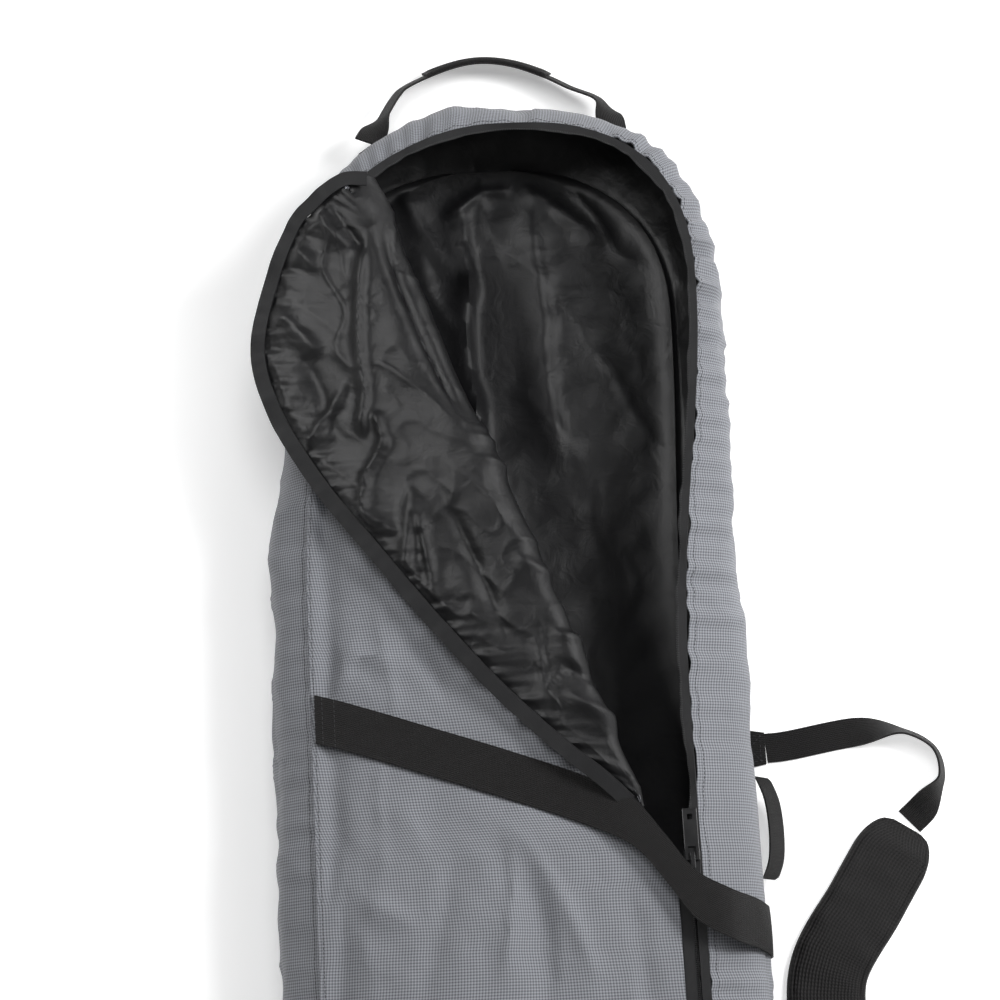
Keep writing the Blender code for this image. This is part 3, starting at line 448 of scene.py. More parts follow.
def wall_surface(sizes):
    """The side wall as sewn: puckered at the front seam, dented below."""
    rows = np.stack([wall_ring(row, sizes.mesh_step) for row in range(5)])
    grid = through(rows, int(WALL_GIRTH / sizes.mesh_step)).transpose(1, 0, 2)
    steps = np.linalg.norm(np.roll(grid[:, 14], -1, 0) - grid[:, 14], axis=1)
    run = np.concatenate([[0], np.cumsum(steps)[:-1]])[:, None]
    up = np.linspace(0, 1, grid.shape[1])[None, :]
    x, y = grid[..., 0], grid[..., 1]
    head = smooth((y - 0.60) / 0.12)
    right = smooth(x / 0.05) * smooth((y + 0.2) / 0.2)
    free = np.sin(math.pi * up) ** 0.7
    move = 0.0024 * wander(11, run, up * WALL_GIRTH, 0.10) * free
    move = move + 0.0010 * wander(12, run, up * WALL_GIRTH, 0.035, 2.2) * free
    move = move + 0.0022 * wrinkles(17, run, up * WALL_GIRTH, 0.060, 1.5, 6) * free
    pucker = wander(13, run, up * 0.02, 0.017, 4.0) * np.exp(-((1 - up) / 0.32) ** 2)
    move = move + pucker * (0.0008 + 0.0018 * head + 0.0020 * right)
    move = move + 0.0007 * wander(14, run, up * 0.02, 0.020, 4.0) * np.exp(-(up / 0.25) ** 2)
    for start, end, width, height in (
        ((0.62, 0.40), (0.42, 0.66), 0.0100, -0.0075),
        ((0.44, 0.60), (0.30, 0.42), 0.0080, -0.0044),
        ((0.32, 0.42), (0.14, 0.66), 0.0100, -0.0070),
        ((0.15, 0.66), (0.05, 0.62), 0.0070, -0.0040),
        ((0.70, 0.35), (0.58, 0.72), 0.0080, 0.0040),
        ((-0.10, 0.40), (-0.34, 0.62), 0.0085, -0.0046),
    ):
        start, end = (start[0], start[1] * WALL_GIRTH), (end[0], end[1] * WALL_GIRTH)
        scaled = crease(y, up * WALL_GIRTH, start, end, width, height)
        move = move + scaled * smooth(x / 0.05)
    for start, end, height in (((0.50, 0.55), (0.20, 0.70), -0.0026), ((0.20, 0.62), (-0.16, 0.45), -0.0024)):
        start, end = (start[0], start[1] * WALL_GIRTH), (end[0], end[1] * WALL_GIRTH)
        scaled = crease(y, up * WALL_GIRTH, start, end, 0.007, height)
        move = move + scaled * smooth(-x / 0.05)
    slack = (0.25 + 0.75 * smooth(up / 0.15)) * calm_wall(x, y)
    grid = grid + normals_of(grid, True) * (move * sizes.creases * slack)[..., None]
    wave = wander(15, run, 0.0, 0.10) * 0.0022 + wander(16, run, 0.0, 0.026) * 0.0014
    lip = smooth((up - 0.72) / 0.28) * smooth((y - 0.16) / 0.05) * np.maximum(right, head)
    inward = unit(grid[:, -1] - grid[:, -4]) * np.array((1, 1, 0))
    return grid + inward[:, None] * (wave * lip)[..., None] * sizes.creases


def make_side_wall(sizes):
    grid = wall_surface(sizes)
    outer = keep(cloth("side_wall_cloth", grid, CLOTH, finish("shell"), ring=True), "bag", "shell",
                 "gusset_right", "gusset_head", "gusset_left", "gusset_tail")
    inside = grid - normals_of(grid, True) * (CLOTH + GAP)
    inward = unit((inside[:, 0] - grid[:, 0]) * (1, 1, 0))
    hem = [inside[:, 0] * (1, 1, 0) + inward * turned + (0, 0, 0.0054) for turned in (0.0085, 0.0050)]
    inside = np.concatenate([np.stack(hem, axis=1), inside[:, 2:]], axis=1)
    lined = keep(cloth("side_wall_lining", inside, LINING, finish("lining"), ring=True), "bag", "lining",
                 "gusset_lining_right", "gusset_lining_head", "gusset_lining_left", "gusset_lining_tail")


# ---- Back ----
def panel_rows(tail, head, step):
    """Lines across a long panel, closer together at its rounded ends."""
    t = np.linspace(0, 1, int((head - tail) / step))
    return mix(tail, head, t - 0.80 * np.sin(math.tau * t) / math.tau)


def spread(left, right, y, columns):
    t = np.linspace(0, 1, columns)[None, :]
    x = mix(right[:, None], left[:, None], t)
    return x, np.broadcast_to(y[:, None], x.shape)


def make_back(sizes):
    tail, head = -(SIDE_END + SECTION[BACK_SEAM][2] - 0.0012), SIDE_END + SECTION[BACK_SEAM][2] - 0.0012
    y = panel_rows(tail, head, sizes.mesh_step)
    x, yy = spread(seam_x(BACK_SEAM, -1, y), seam_x(BACK_SEAM, 1, y), y, int(0.33 / sizes.mesh_step))
    under = np.stack([x, yy, np.full_like(x, 0.0002)], axis=2)
    outer = keep(cloth("back_cloth", under[::-1], CLOTH, finish("shell")), "bag", "shell", "back_panel")
    inset = 0.0028
    y = panel_rows(tail + inset, head - inset, sizes.mesh_step)
    x, yy = spread(seam_x(BACK_SEAM, -1, y, inset), seam_x(BACK_SEAM, 1, y, inset), y, int(0.33 / sizes.mesh_step))
    edge = np.minimum(x - seam_x(BACK_SEAM, -1, y, inset)[:, None], seam_x(BACK_SEAM, 1, y, inset)[:, None] - x)
    edge = np.minimum(edge, np.minimum(yy - tail, head - yy))
    free = smooth(edge / 0.030)
    lift = 0.0020 * (1 + wander(21, x, yy, 0.15, 1.6)) + 0.0007 * wander(22, x, yy, 0.045)
    lift = lift + 0.0022 * wrinkles(23, x, yy, 0.075, 2.0, 6) + 0.0008 * wrinkles(24, x, yy, 0.032, 1.5, 5)
    lift = creased(lift, x, yy, BACK_CREASES)
    rim = 0.011 * np.exp(-np.maximum(edge, 0) / 0.011)
    top = np.stack([x, yy, 0.0042 + rim + np.maximum(lift, 0) * free * sizes.creases], axis=2)
    lined = keep(cloth("back_lining_cloth", top, LINING, finish("lining")), "bag", "lining", "back_lining")


# ---- Front panel ----
def front_height(x, y):
    ends = 1 - smooth((np.abs(y) - 0.50) / 0.30)
    crown = np.maximum(0.0, 1 - (x / ZIP_X) ** 2)
    return SEAM_HEIGHT + 0.0014 + FRONT_CROWN * crown * mix(0.35, 1.0, ends)


def fold_radius(part):
    return mix(FOLD_RADIUS[0], FOLD_RADIUS[1], part)


def roll_radius(part):
    """The roll runs out to nothing where it passes under the upper strap."""
    return fold_radius(np.clip(part, 0, 1)) * (1 - 0.7 * smooth((part - 0.93) / 0.09))


def beside_fold(part, distance):
    """Plan position: part runs along the fold from the head, distance to the left of its outermost line."""
    part, distance = np.broadcast_arrays(np.asarray(part, float), np.asarray(distance, float))
    return FOLD_TOP + FOLD_ALONG * (part * FOLD_LENGTH)[..., None] - FOLD_RIGHT * distance[..., None]


def roll_base(part):
    under = beside_fold(part, fold_radius(part))
    return front_height(under[..., 0], under[..., 1]) + 0.0006


def front_edge(y):
    beside_zip = ZIP_X - 0.012 - 0.0007
    part = (FOLD_TOP[1] - y) / (FOLD_TOP[1] - FOLD_FOOT[1])
    foot = beside_fold(1, fold_radius(1))[0]
    held = np.clip(part, 0, 1)
    beside = beside_fold(held, fold_radius(held) * 1.1 + 0.0006)[..., 0]
    return np.where(part > 1, mix(foot, beside_zip, smooth((FOLD_FOOT[1] - y) / 0.05)), beside)


def front_creases(x, y):
    lift = 0.0016 * wander(31, x, y, 0.13, 1.5) + 0.0006 * wander(32, x, y, 0.040)
    lift = lift + 0.0020 * wrinkles(35, x, y, 0.085, 1.5, 7) + 0.0007 * wrinkles(36, x, y, 0.035, 1.2, 5)
    left = x - seam_x(FRONT_SEAM, -1, y[:, 0])[:, None]
    lift = lift - 0.0050 * np.exp(-((left - 0.015) / 0.011) ** 2)
    lift = lift + 0.0007 * wander(33, y, left * 0.25, 0.018) * np.exp(-left / 0.014)
    lift = creased(lift, x, y, FRONT_CREASES)
    return lift


def front_surface(sizes):
    tail = -(SIDE_END + SECTION[FRONT_SEAM][2] - 0.0012)
    head = FOLD_TOP[1] - 0.004
    y = panel_rows(tail, head, sizes.mesh_step)
    right = mix(front_edge(y), seam_x(FRONT_SEAM, 1, y), smooth((-SIDE_END - 0.002 - y) / 0.012))
    right = np.minimum(right, np.where(y < -SIDE_END, seam_x(FRONT_SEAM, 1, y), right))
    left = seam_x(FRONT_SEAM, -1, y)
    x, yy = spread(left, right, y, int(0.29 / sizes.mesh_step))
    edge = np.minimum(x - left[:, None], right[:, None] - x)
    free = smooth(edge / 0.016) * smooth((yy - tail) / 0.020)
    under_strap = np.ones_like(x)
    for shift in (0, STRAP_SHIFT):
        knots = np.array(UPPER_STRAP)
        middle = np.interp(x, knots[:, 0], knots[:, 1]) + shift
        under_strap = under_strap * (1 - 0.85 * smooth(1.4 - np.abs(yy - middle) / 0.022))
    lift = front_creases(x, yy) * free * under_strap * sizes.creases
    lift = lift - 0.0012 * (1 - under_strap)
    return np.stack([x, yy, front_height(x, yy) + lift], axis=2)


def make_front(sizes):
    grid = front_surface(sizes)
    outer = keep(cloth("front_cloth", grid, CLOTH, finish("shell")), "bag", "shell", "front_panel")
    inside = (grid - normals_of(grid) * (CLOTH + GAP))[1:-1, 1:-1]
    lined = keep(cloth("front_lining_cloth", inside, LINING, finish("lining")), "bag", "lining", "front_lining")


# ---- Flap ----
def edge_line(count, inset=0.0):
    """The flap's free edge, as distances along the fold and to the left of it, moved inwards by inset."""
    line = line_through(FREE_EDGE, count)
    ahead = unit(np.gradient(line, axis=0))
    return line + np.stack([ahead[:, 1], -ahead[:, 0]], axis=1) * inset


def flap_creases(x, y):
    lift = 0.0014 * (1 + wander(41, x, y, 0.12, 1.3)) + 0.0006 * wander(42, x, y, 0.040)
    lift = lift + 0.0022 * wrinkles(45, x, y, 0.060, 1.6, 7) + 0.0010 * wrinkles(46, x, y, 0.028, 1.3, 5)
    lift = creased(lift, x, y, FLAP_CREASES)
    return lift


def flap_point(along, distance, lift=0.0):
    """Top of the folded flap at this distance along the fold and to the left of it."""
    part = along / FOLD_LENGTH
    held = np.clip(part, 0, 1)
    radius = roll_radius(part)
    top = roll_base(held) + 2 * radius + 0.0012
    beyond = np.maximum(distance - radius, 0)
    fall = mix(FLAP_SLOPE[0], FLAP_SLOPE[1], held) * (np.sqrt(beyond**2 + 0.008**2) - 0.008)
    plan = beside_fold(part, distance)
    return np.concatenate([plan, (top - fall + lift)[..., None]], axis=-1)


def flap_surface(sizes):
    """Roll and flap as one cloth, from the front panel's edge up round the roll and over to the seam of the tape."""
    step = sizes.mesh_step * 0.56
    rows = int(0.60 / step)
    edge = edge_line(rows, FLAP_SEAM)
    share = np.linspace(0, 1, rows)
    along = mix(0.003, 1.02 * FOLD_LENGTH, share)
    part = along / FOLD_LENGTH
    radius, base = roll_radius(part), roll_base(np.minimum(part, 1))
    turn = np.linspace(0, math.pi, 26)[:-1]
    distance = radius[:, None] * (1 - np.sin(turn))[None, :]
    plan = beside_fold(part[:, None], distance)
    level = base[:, None] + radius[:, None] * (1 - np.cos(turn))[None, :] + 0.0012
    roll = np.concatenate([plan, level[..., None]], axis=2)
    columns = int(0.16 / step)
    edge[:, 1] = np.maximum(edge[:, 1], radius + 0.003)
    t = np.linspace(0, 1, columns)[None, :]
    flat = np.stack([mix(along[:, None], edge[:, :1], t), mix(radius[:, None], edge[:, 1:], t)], axis=2)
    over = flap_point(flat[..., 0], flat[..., 1])
    grid = np.concatenate([roll, over], axis=1)
    near = np.concatenate([np.full(roll.shape[:2], 1.0), np.linalg.norm(flat - edge[:, None], axis=2)], axis=1)
    x, y = grid[..., 0], grid[..., 1]
    arc = np.concatenate([(1 - np.cos(turn)) / 2, np.ones(columns)])[None, :]
    run = np.linspace(0, 0.62, rows)[:, None]
    gather = wander(43, run, near * 0.2, 0.013) * np.exp(-near / 0.020) * 0.0024
    pinch = (flap_creases(x, y) + 0.0004 * wander(44, run, 0.0, 0.050) * arc) * smooth((near - 0.001) / 0.012)
    rise = (pinch * smooth((arc - 0.15) / 0.5) + gather) * sizes.creases
    ends = smooth(np.minimum(run, 0.62 - run) / 0.02 + 0.1)
    normal = -normals_of(grid)
    return grid + normal * (rise * ends)[..., None]


def bend_with_flap(obj, slot, *nodes):
    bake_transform(obj)
    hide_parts(*nodes)


def make_flap(sizes):
    top = flap_surface(sizes)
    lined = cloth("flap_lining_cloth", top[:, ::-1], LINING, finish("lining"))
    bend_with_flap(lined, "lining", "flap_fold", "flap_lining")
    under = top + normals_of(top) * (LINING + GAP)
    shell = cloth("flap_shell_cloth", (under + normals_of(under) * CLOTH), CLOTH, finish("shell"))
    bend_with_flap(shell, "shell", "flap_shell")


def flap_tape_surface(count=420):
    """The zip's tape round the flap's free edge, wavy as sewn to gathered cloth."""
    lines = []
    run = np.linspace(0, 0.70, count)
    wave = 0.0011 * wander(51, run, 0.0, 0.045) + 0.0004 * wander(52, run, 0.0, 0.016)
    for inset in np.linspace(FLAP_TAPE, 0.0002, 8):
        edge = edge_line(count, inset)
        outer = 1 - inset / FLAP_TAPE
        point = flap_point(edge[:, 0], edge[:, 1], 0.0042 - 0.0012 * outer + wave * (0.3 + outer))
        lines.append(point)
    return np.stack(lines, axis=1)


# ---- Zip ----
def zip_edge(part, inset):
    """Along the side wall's front edge, from the tail up the right side and round the head."""
    straight, cap = 2 * SIDE_END, 0.42
    run = np.asarray(part) * (straight + cap)
    side = side_row(FRONT_SEAM, 1, np.minimum(-SIDE_END + run, SIDE_END), inset)
    turned = end_row(FRONT_SEAM, 1, np.clip((run - straight) / cap, 0, 1) * math.pi * 0.77, inset)
    return np.where((run <= straight)[:, None], side, turned)


def wall_tape_surface(count=900):
    part = np.linspace(0, 1, count)
    run = part * 1.74
    open_part = smooth((zip_edge(part, 0)[:, 1] - SLIDER_Y) / 0.06)
    wave = 0.0016 * wander(61, run, 0.0, 0.090) + 0.0008 * wander(62, run, 0.0, 0.028)
    lines = []
    for inset in np.linspace(0.0003, TAPE_REACH, 7):
        share = inset / TAPE_REACH
        line = zip_edge(part, inset + wave * open_part * share)
        line[:, 2] = SEAM_HEIGHT + 0.0030 - 0.0014 * open_part * share + wave * open_part * share * 0.8
        lines.append(line)
    return np.stack(lines, axis=1)


def make_zip(sizes):
    tape = flap_tape_surface()
    keep(cloth("flap_binding_tape", tape, 0.0013, finish("tape")), "flap", "zip_tape", "flap_zip_tape")
    middle = mix(tape[:, -1], tape[:, -3], 0.35) + normals_of(tape)[:, -2] * 0.0007
    teeth = repeat_along("flap_coil", [middle], finish("coil"), sizes.tooth_pitch, 0.0030, 0.0016, 0.00095)
    keep(teeth, "flap", "zip_coil", "flap_zip_coil")
    wall = wall_tape_surface()
    keep(cloth("wall_zip_tape", wall[:, ::-1], 0.0012, finish("tape")), "bag", "zip_tape", "zip_tape_gusset")
    open_rows = np.flatnonzero(wall[:, 0, 1] > SLIDER_Y + 0.016)[0]
    middle = mix(wall[open_rows:, -1], wall[open_rows:, -2], 0.8) + np.array((0, 0, 0.0007))
    teeth = repeat_along("wall_coil", [middle], finish("coil"), sizes.tooth_pitch, 0.0030, 0.0016, 0.00095)
    keep(teeth, "bag", "zip_coil", "zip_coil_gusset")
    y = np.linspace(-SIDE_END, SLIDER_Y - 0.002, 300)
    x = np.linspace(ZIP_X - 0.0006, ZIP_X - 0.012, 6)
    shut = np.stack(np.broadcast_arrays(x[None, :], y[:, None], ZIP_LEVEL + 0.0012), axis=2)
    shut[..., 2] += 0.0004 * wander(63, y, 0.0, 0.05)[:, None] * np.linspace(0, 1, 6)[None, :]
    keep(cloth("front_zip_tape", shut, 0.0012, finish("tape")), "bag", "zip_tape", "zip_tape_front")
    y = np.linspace(-SIDE_END + 0.012, SLIDER_Y - 0.004, 200)
    rows = [np.stack([np.full_like(y, ZIP_X + side * 0.0012), y, np.full_like(y, ZIP_LEVEL + 0.0022)], axis=1)
            for side in (-1, 1)]
    rows[1][:, 1] += sizes.tooth_pitch / 2
    chain = repeat_along("closed_coil", rows, finish("coil"), sizes.tooth_pitch, 0.0032, 0.0017, 0.0009)
    keep(chain, "bag", "zip_coil", "zip_chain_closed")
    refinish("metal", "zip_slider", "zip_pull", "zip_stop")


# ---- Webs ----
def strap_line(shift):
    knots = np.array(UPPER_STRAP)
    arch = smooth((knots[:, 0] - 0.060) / 0.06)
    level = mix(front_height(knots[:, 0], knots[:, 1]), 0.1165, arch) + 0.0013 + WEBBING
    points = np.column_stack([knots[:, 0], knots[:, 1] + shift, level])
    points[-1] = (0.178, points[-1][1], 0.1145)
    low = points[-1][1]
    side = [(0.199, low - 0.006, 0.090), (0.2105, low - 0.010, 0.066), (0.2135, low - 0.011, 0.046),
            (0.2085, low - 0.012, 0.026), (0.2075, low - 0.012, 0.0095)]
    return line_through(np.vstack([points, side]), 240)


def make_cross_straps():
    for which, shift in (("upper", 0.0), ("lower", STRAP_SHIFT)):
        path = strap_line(shift)
        t = np.linspace(0, 1, len(path))
        sides = np.tile((0.0, 1.0, 0.0), (len(path), 1))
        sag = 0.0008 * wander(71 + len(which), t * 0.6, 0.0, 0.12) * smooth(t / 0.05) * smooth((1 - t) / 0.1)
        path = path + np.array((0, 0, 1)) * np.maximum(sag, 0)[:, None]
        strap = web(f"cross_strap_{which}", path, sides, 0.040, WEBBING, finish("web"), bow=0.0006)
        keep(strap, "bag", "webbing", f"strap_{which}")
        y = path[-1, 1]
        tab = np.array([(0.1690, y, 0.0020), (0.1715, y, 0.0020), (0.1740, y, 0.0020), (0.1790, y, 0.0020)])
        tab = web(f"lock_tab_{which}", tab, np.tile((0.0, 1.0, 0.0), (4, 1)), 0.038, 0.0016, finish("web"), bow=0.0)
        keep(tab, "bag", "webbing", f"strap_tab_{which}")
    refinish("plastic", "ladder_lock_upper", "ladder_lock_lower", "shoulder_adjuster")


def banked(path, tilt):
    """The direction of a web's width along its path: level, or turned up on its edge."""
    ahead = np.gradient(path, axis=0)
    level = unit(np.stack([-ahead[:, 1], ahead[:, 0], np.zeros(len(path))], axis=1))
    return level * np.cos(tilt)[:, None] - np.array((0, 0, 1)) * np.sin(tilt)[:, None]


def handle_feet(end):
    middle = float(end_row(2, end, np.array(math.pi / 2))[0])
    half = float(end_row(2, end, np.array(0.0))[0]) - middle
    return middle, half, (middle - 0.62 * half, middle + 0.575 * half)


def handle_patch(end, x):
    """Corner lines of the web that anchors a handle's foot on the side wall."""
    middle, half, _ = handle_feet(end)
    ratio = (x - middle) / half
    angle = math.acos(math.copysign(abs(ratio) ** (1 / SECTION[2][4]), ratio))
    rows = []
    for turn in np.linspace(-0.07, 0.07, 9):
        low, high = (end_row(row, end, np.array(angle + turn)) for row in (2, 3))
        rows.append(mix(low, mix(low, high, 0.45), np.linspace(0, 1, 6)[:, None]))
    return np.array(rows)[:: end]


def make_handles():
    for which, end in (("head", 1), ("tail", -1)):
        _, _, feet = handle_feet(end)
        path = line_through([(feet[0] + x if n < 5 else feet[1] + x, HANDLE_Y + out, z)
                             for n, (x, out, z) in enumerate(HANDLE_ROUTE)], 161)
        t = np.linspace(0, 1, 161)
        sides = banked(path, math.radians(62) * smooth((np.minimum(t, 1 - t) - 0.02) / 0.10))
        if end < 0:
            path, sides = (path * (1, -1, 1))[::-1], (sides * (1, -1, 1))[::-1]
        strap = web(f"handle_strap_{which}", path, sides, 0.025, WEBBING, finish("web"), bow=0.0)
        keep(strap, f"{which}_handle", "webbing", f"handle_{which}")
        across = np.linspace(-0.5, 0.5, 41)
        rows = slice(50, 111)
        grip = path[rows, None] + sides[rows, None] * (across[None, :, None] * 0.028)
        rib = 0.0007 * np.cos(across * math.tau * 5.5) ** 2 * smooth((0.5 - np.abs(across)) / 0.05)
        ends = smooth(np.minimum(np.arange(61), 60 - np.arange(61)) / 4)
        face = normals_of(grip)
        grip = grip + face * (0.0026 + rib[None, :] * ends[:, None])[..., None]
        sleeve = cloth(f"handle_sleeve_{which}", grip, 0.0021, finish("web"))
        keep(sleeve, f"{which}_handle", "webbing", f"handle_grip_{which}")
        for foot, x in (("left", feet[0]), ("right", feet[1])):
            patch = handle_patch(end, x)
            patch = patch + normals_of(patch) * (WEBBING + 0.0006)
            anchor = cloth(f"handle_foot_{which}_{foot}", patch, WEBBING, finish("web"))
            keep(anchor, "bag", "webbing", f"handle_anchor_{which}_{foot}")


def make_side_loop():
    route = [(0.2165, 0.2440, 0.037), (0.2205, 0.2400, 0.030), (0.2262, 0.2250, 0.022), (0.2280, 0.2020, 0.020),
             (0.2262, 0.1790, 0.022), (0.2205, 0.1640, 0.030), (0.2165, 0.1600, 0.037)]
    path = line_through(route, 80)
    sides = np.tile(unit(np.array((0.60, 0.0, -0.80))), (80, 1))
    loop = web("side_carry_loop", path, sides, 0.022, WEBBING, finish("web"), bow=0.0)
    keep(loop, "loop", "webbing", "side_loop")


# ---- Shoulder strap ----
def floor_web(points, count, tilt, rise):
    flat = line_through(np.column_stack([points, np.zeros(len(points))]), count)
    t = np.linspace(0, 1, count)
    ahead = unit(np.gradient(flat, axis=0))
    level = np.stack([ahead[:, 1], -ahead[:, 0], np.zeros(count)], axis=1)
    angle = tilt(t)
    side = level * np.cos(angle)[:, None] + np.array((0, 0, 1)) * np.sin(angle)[:, None]
    height = 0.0125 * np.abs(np.sin(angle)) + WEBBING + 0.0002 + rise(t)
    return flat + np.array((0, 0, 1)) * height[:, None], -side


def make_shoulder_strap():
    turns = {
        "upper": (SHOULDER_UPPER,
                  lambda t: math.radians(72) * smooth((t - 0.30) / 0.25) * (1 - smooth((t - 0.80) / 0.17)),
                  lambda t: 0 * t),
        "lower": (SHOULDER_LOWER,
                  lambda t: math.radians(70) * smooth((t - 0.66) / 0.12) * (1 - smooth((t - 0.88) / 0.10)),
                  lambda t: 0.0028 * smooth(t / 0.2) * (1 - smooth((t - 0.5) / 0.15))),
    }
    for which, (points, tilt, rise) in turns.items():
        points = [(SWING_X + 0.0003 if x == FOOT_X else x, y) for x, y in points]
        path, sides = floor_web(points, 170, tilt, rise)
        strap = web(f"shoulder_strap_{which}", path, sides, 0.025, WEBBING, finish("web"), bow=0.0)
        keep(strap, "shoulder", "webbing", f"shoulder_web_{which}")
        y = points[0][1] if which == "upper" else points[-1][1]
        x = np.array((0.1690, 0.180, 0.190, 0.200, 0.2125, SWING_X - 0.0002))
        half = np.interp(x, (0.1690, 0.200, 0.2255), (0.018, 0.018, 0.0135))
        spine = np.stack([x, np.full_like(x, y), np.full_like(x, 0.0024)], axis=1)
        anchor = web(f"shoulder_foot_{which}", spine, np.tile((0.0, 1.0, 0.0), (6, 1)), 2 * half, 0.0020,
                     finish("web"), bow=0.0)
        keep(anchor, "bag", "webbing", f"shoulder_anchor_{which}")
    flat = line_through(np.column_stack([PAD_LINE, np.zeros(len(PAD_LINE))]), 150)
    t = np.linspace(0, 1, 150)
    ahead = unit(np.gradient(flat, axis=0))
    side = np.stack([ahead[:, 1], -ahead[:, 0], np.zeros(150)], axis=1)
    close = np.minimum(np.minimum(t, 1 - t) / 0.10, 1.0)
    half = 0.0325 * (0.42 + 0.58 * np.sqrt(1 - (1 - close) ** 2))
    turn = np.linspace(0, math.tau, 48, endpoint=False)
    c, s = np.cos(turn), np.sin(turn)
    wide = np.sign(c) * np.abs(c) ** 0.45
    top = 0.0094 * np.maximum(s, 0) ** 0.5 - 0.0014 * np.exp(-((np.abs(wide) - 0.84) / 0.035) ** 2) * (s > 0)
    crown = 0.35 + 0.65 * smooth(close * 1.6)
    rings = flat[:, None] + side[:, None] * (half[:, None] * wide[None, :])[..., None]
    rings[..., 2] = 0.0006 + np.maximum(top, 0)[None, :] * crown[:, None]
    puff = 0.0006 * wander(81, rings[..., 0], rings[..., 1], 0.030) * (s > 0.3)[None, :]
    rings[..., 2] += puff * crown[:, None]
    pad = keep(tube("shoulder_pad_cushion", rings, finish("pad")), "shoulder", "pad", "shoulder_pad")


# ---- Stitching ----
def repeat_tree():
    """Lays one small rounded piece at even distances along a line, turned along it."""
    found = bpy.data.node_groups.get("Rounded piece along a line")
    if found:
        return found
    tree = bpy.data.node_groups.new("Rounded piece along a line", "GeometryNodeTree")
    face = tree.interface
    face.new_socket("Line", in_out="INPUT", socket_type="NodeSocketGeometry")
    for name in ("Spacing", "Width", "Height", "Length", "Unevenness"):
        face.new_socket(name, in_out="INPUT", socket_type="NodeSocketFloat")
    face.new_socket("Seed", in_out="INPUT", socket_type="NodeSocketInt")
    face.new_socket("Finish", in_out="INPUT", socket_type="NodeSocketMaterial")
    face.new_socket("Row", in_out="OUTPUT", socket_type="NodeSocketGeometry")
    given = tree.nodes.new("NodeGroupInput").outputs
    spots = add_node(tree, "GeometryNodeCurveToPoints", {"Curve": given["Line"], "Length": given["Spacing"]},
                     mode="LENGTH")
    ball = add_node(tree, "GeometryNodeMeshUVSphere", {"Segments": 6, "Rings": 4, "Radius": 0.5})
    size = add_node(tree, "ShaderNodeCombineXYZ", {"X": given["Width"], "Y": given["Height"], "Z": given["Length"]})
    shape = add_node(tree, "GeometryNodeTransform", {"Geometry": ball.outputs["Mesh"], "Scale": size.outputs[0]})
    least = add_node(tree, "ShaderNodeMath", {0: 1.0, 1: given["Unevenness"]}, operation="SUBTRACT")
    most = add_node(tree, "ShaderNodeMath", {0: 1.0, 1: given["Unevenness"]}, operation="ADD")
    vary = add_node(tree, "FunctionNodeRandomValue", {"Seed": given["Seed"]}, data_type="FLOAT")
    tree.links.new(least.outputs[0], vary.inputs[2])
    tree.links.new(most.outputs[0], vary.inputs[3])
    laid = add_node(tree, "GeometryNodeInstanceOnPoints", {
        "Points": spots.outputs["Points"], "Instance": shape.outputs["Geometry"],
        "Rotation": spots.outputs["Rotation"], "Scale": vary.outputs[1]})
    real = add_node(tree, "GeometryNodeRealizeInstances", {"Geometry": laid.outputs["Instances"]})
    soft = add_node(tree, "GeometryNodeSetShadeSmooth", {"Geometry": real.outputs["Geometry"]})
    painted = add_node(tree, "GeometryNodeSetMaterial", {"Geometry": soft.outputs["Geometry"],
                                                         "Material": given["Finish"]})
    last = tree.nodes.new("NodeGroupOutput")
    tree.links.new(painted.outputs["Geometry"], last.inputs["Row"])
    return tree


def repeat_along(name, lines, material, spacing, width, height, length, unevenness=0.04, seed=3):
    """A plain mesh of small rounded pieces along these lines."""
    curve = bpy.data.curves.new(name + "_line", "CURVE")
    curve.dimensions = "3D"
    curve.twist_mode = "Z_UP"
    for line in lines:
        spline = curve.splines.new("POLY")
        spline.points.add(len(line) - 1)
        spline.points.foreach_set("co", np.column_stack([line, np.ones(len(line))]).astype(np.float32).ravel())
    guide = linked(name + "_line", curve)
    modifier = guide.modifiers.new("Row", "NODES")
    tree = repeat_tree()
    modifier.node_group = tree
    values = {"Spacing": spacing, "Width": width, "Height": height, "Length": length, "Unevenness": unevenness,
              "Seed": seed, "Finish": material}
    for item in tree.interface.items_tree:
        if item.item_type == "SOCKET" and item.in_out == "INPUT" and item.name in values:
            modifier[item.identifier] = values[item.name]
    guide.update_tag()
    bpy.context.view_layer.update()
    mesh = bpy.data.meshes.new_from_object(guide.evaluated_get(bpy.context.evaluated_depsgraph_get()))
    bpy.data.objects.remove(guide, do_unlink=True)
    if not mesh.polygons:
        raise RuntimeError(f"{name}: the row of pieces came out empty")
    mesh.name = name
    obj = linked(name, mesh)
    return obj


def column_line(grid, column, lift, ring=False):
    """A line on a cloth grid at a column, which may lie between two, raised off the cloth."""
    low = int(math.floor(column))
    face = normals_of(grid, ring) * lift + grid
    return mix(face[:, low], face[:, min(low + 1, grid.shape[1] - 1)], column - low)


def box_rows(corners, lift=(0, 0, 0.0004), inset=0.12):
    """The seams of a box with a cross in it, inside a four-cornered patch."""
    a, b, c, d = (np.array(p, float) + lift for p in corners)
    middle = (a + b + c + d) / 4
    a, b, c, d = (mix(p, middle, 2 * inset) for p in (a, b, c, d))
    pairs = ((a, b), (b, c), (c, d), (d, a), (a, c), (b, d))
    return [mix(p, q, np.linspace(0, 1, 12)[:, None]) for p, q in pairs]


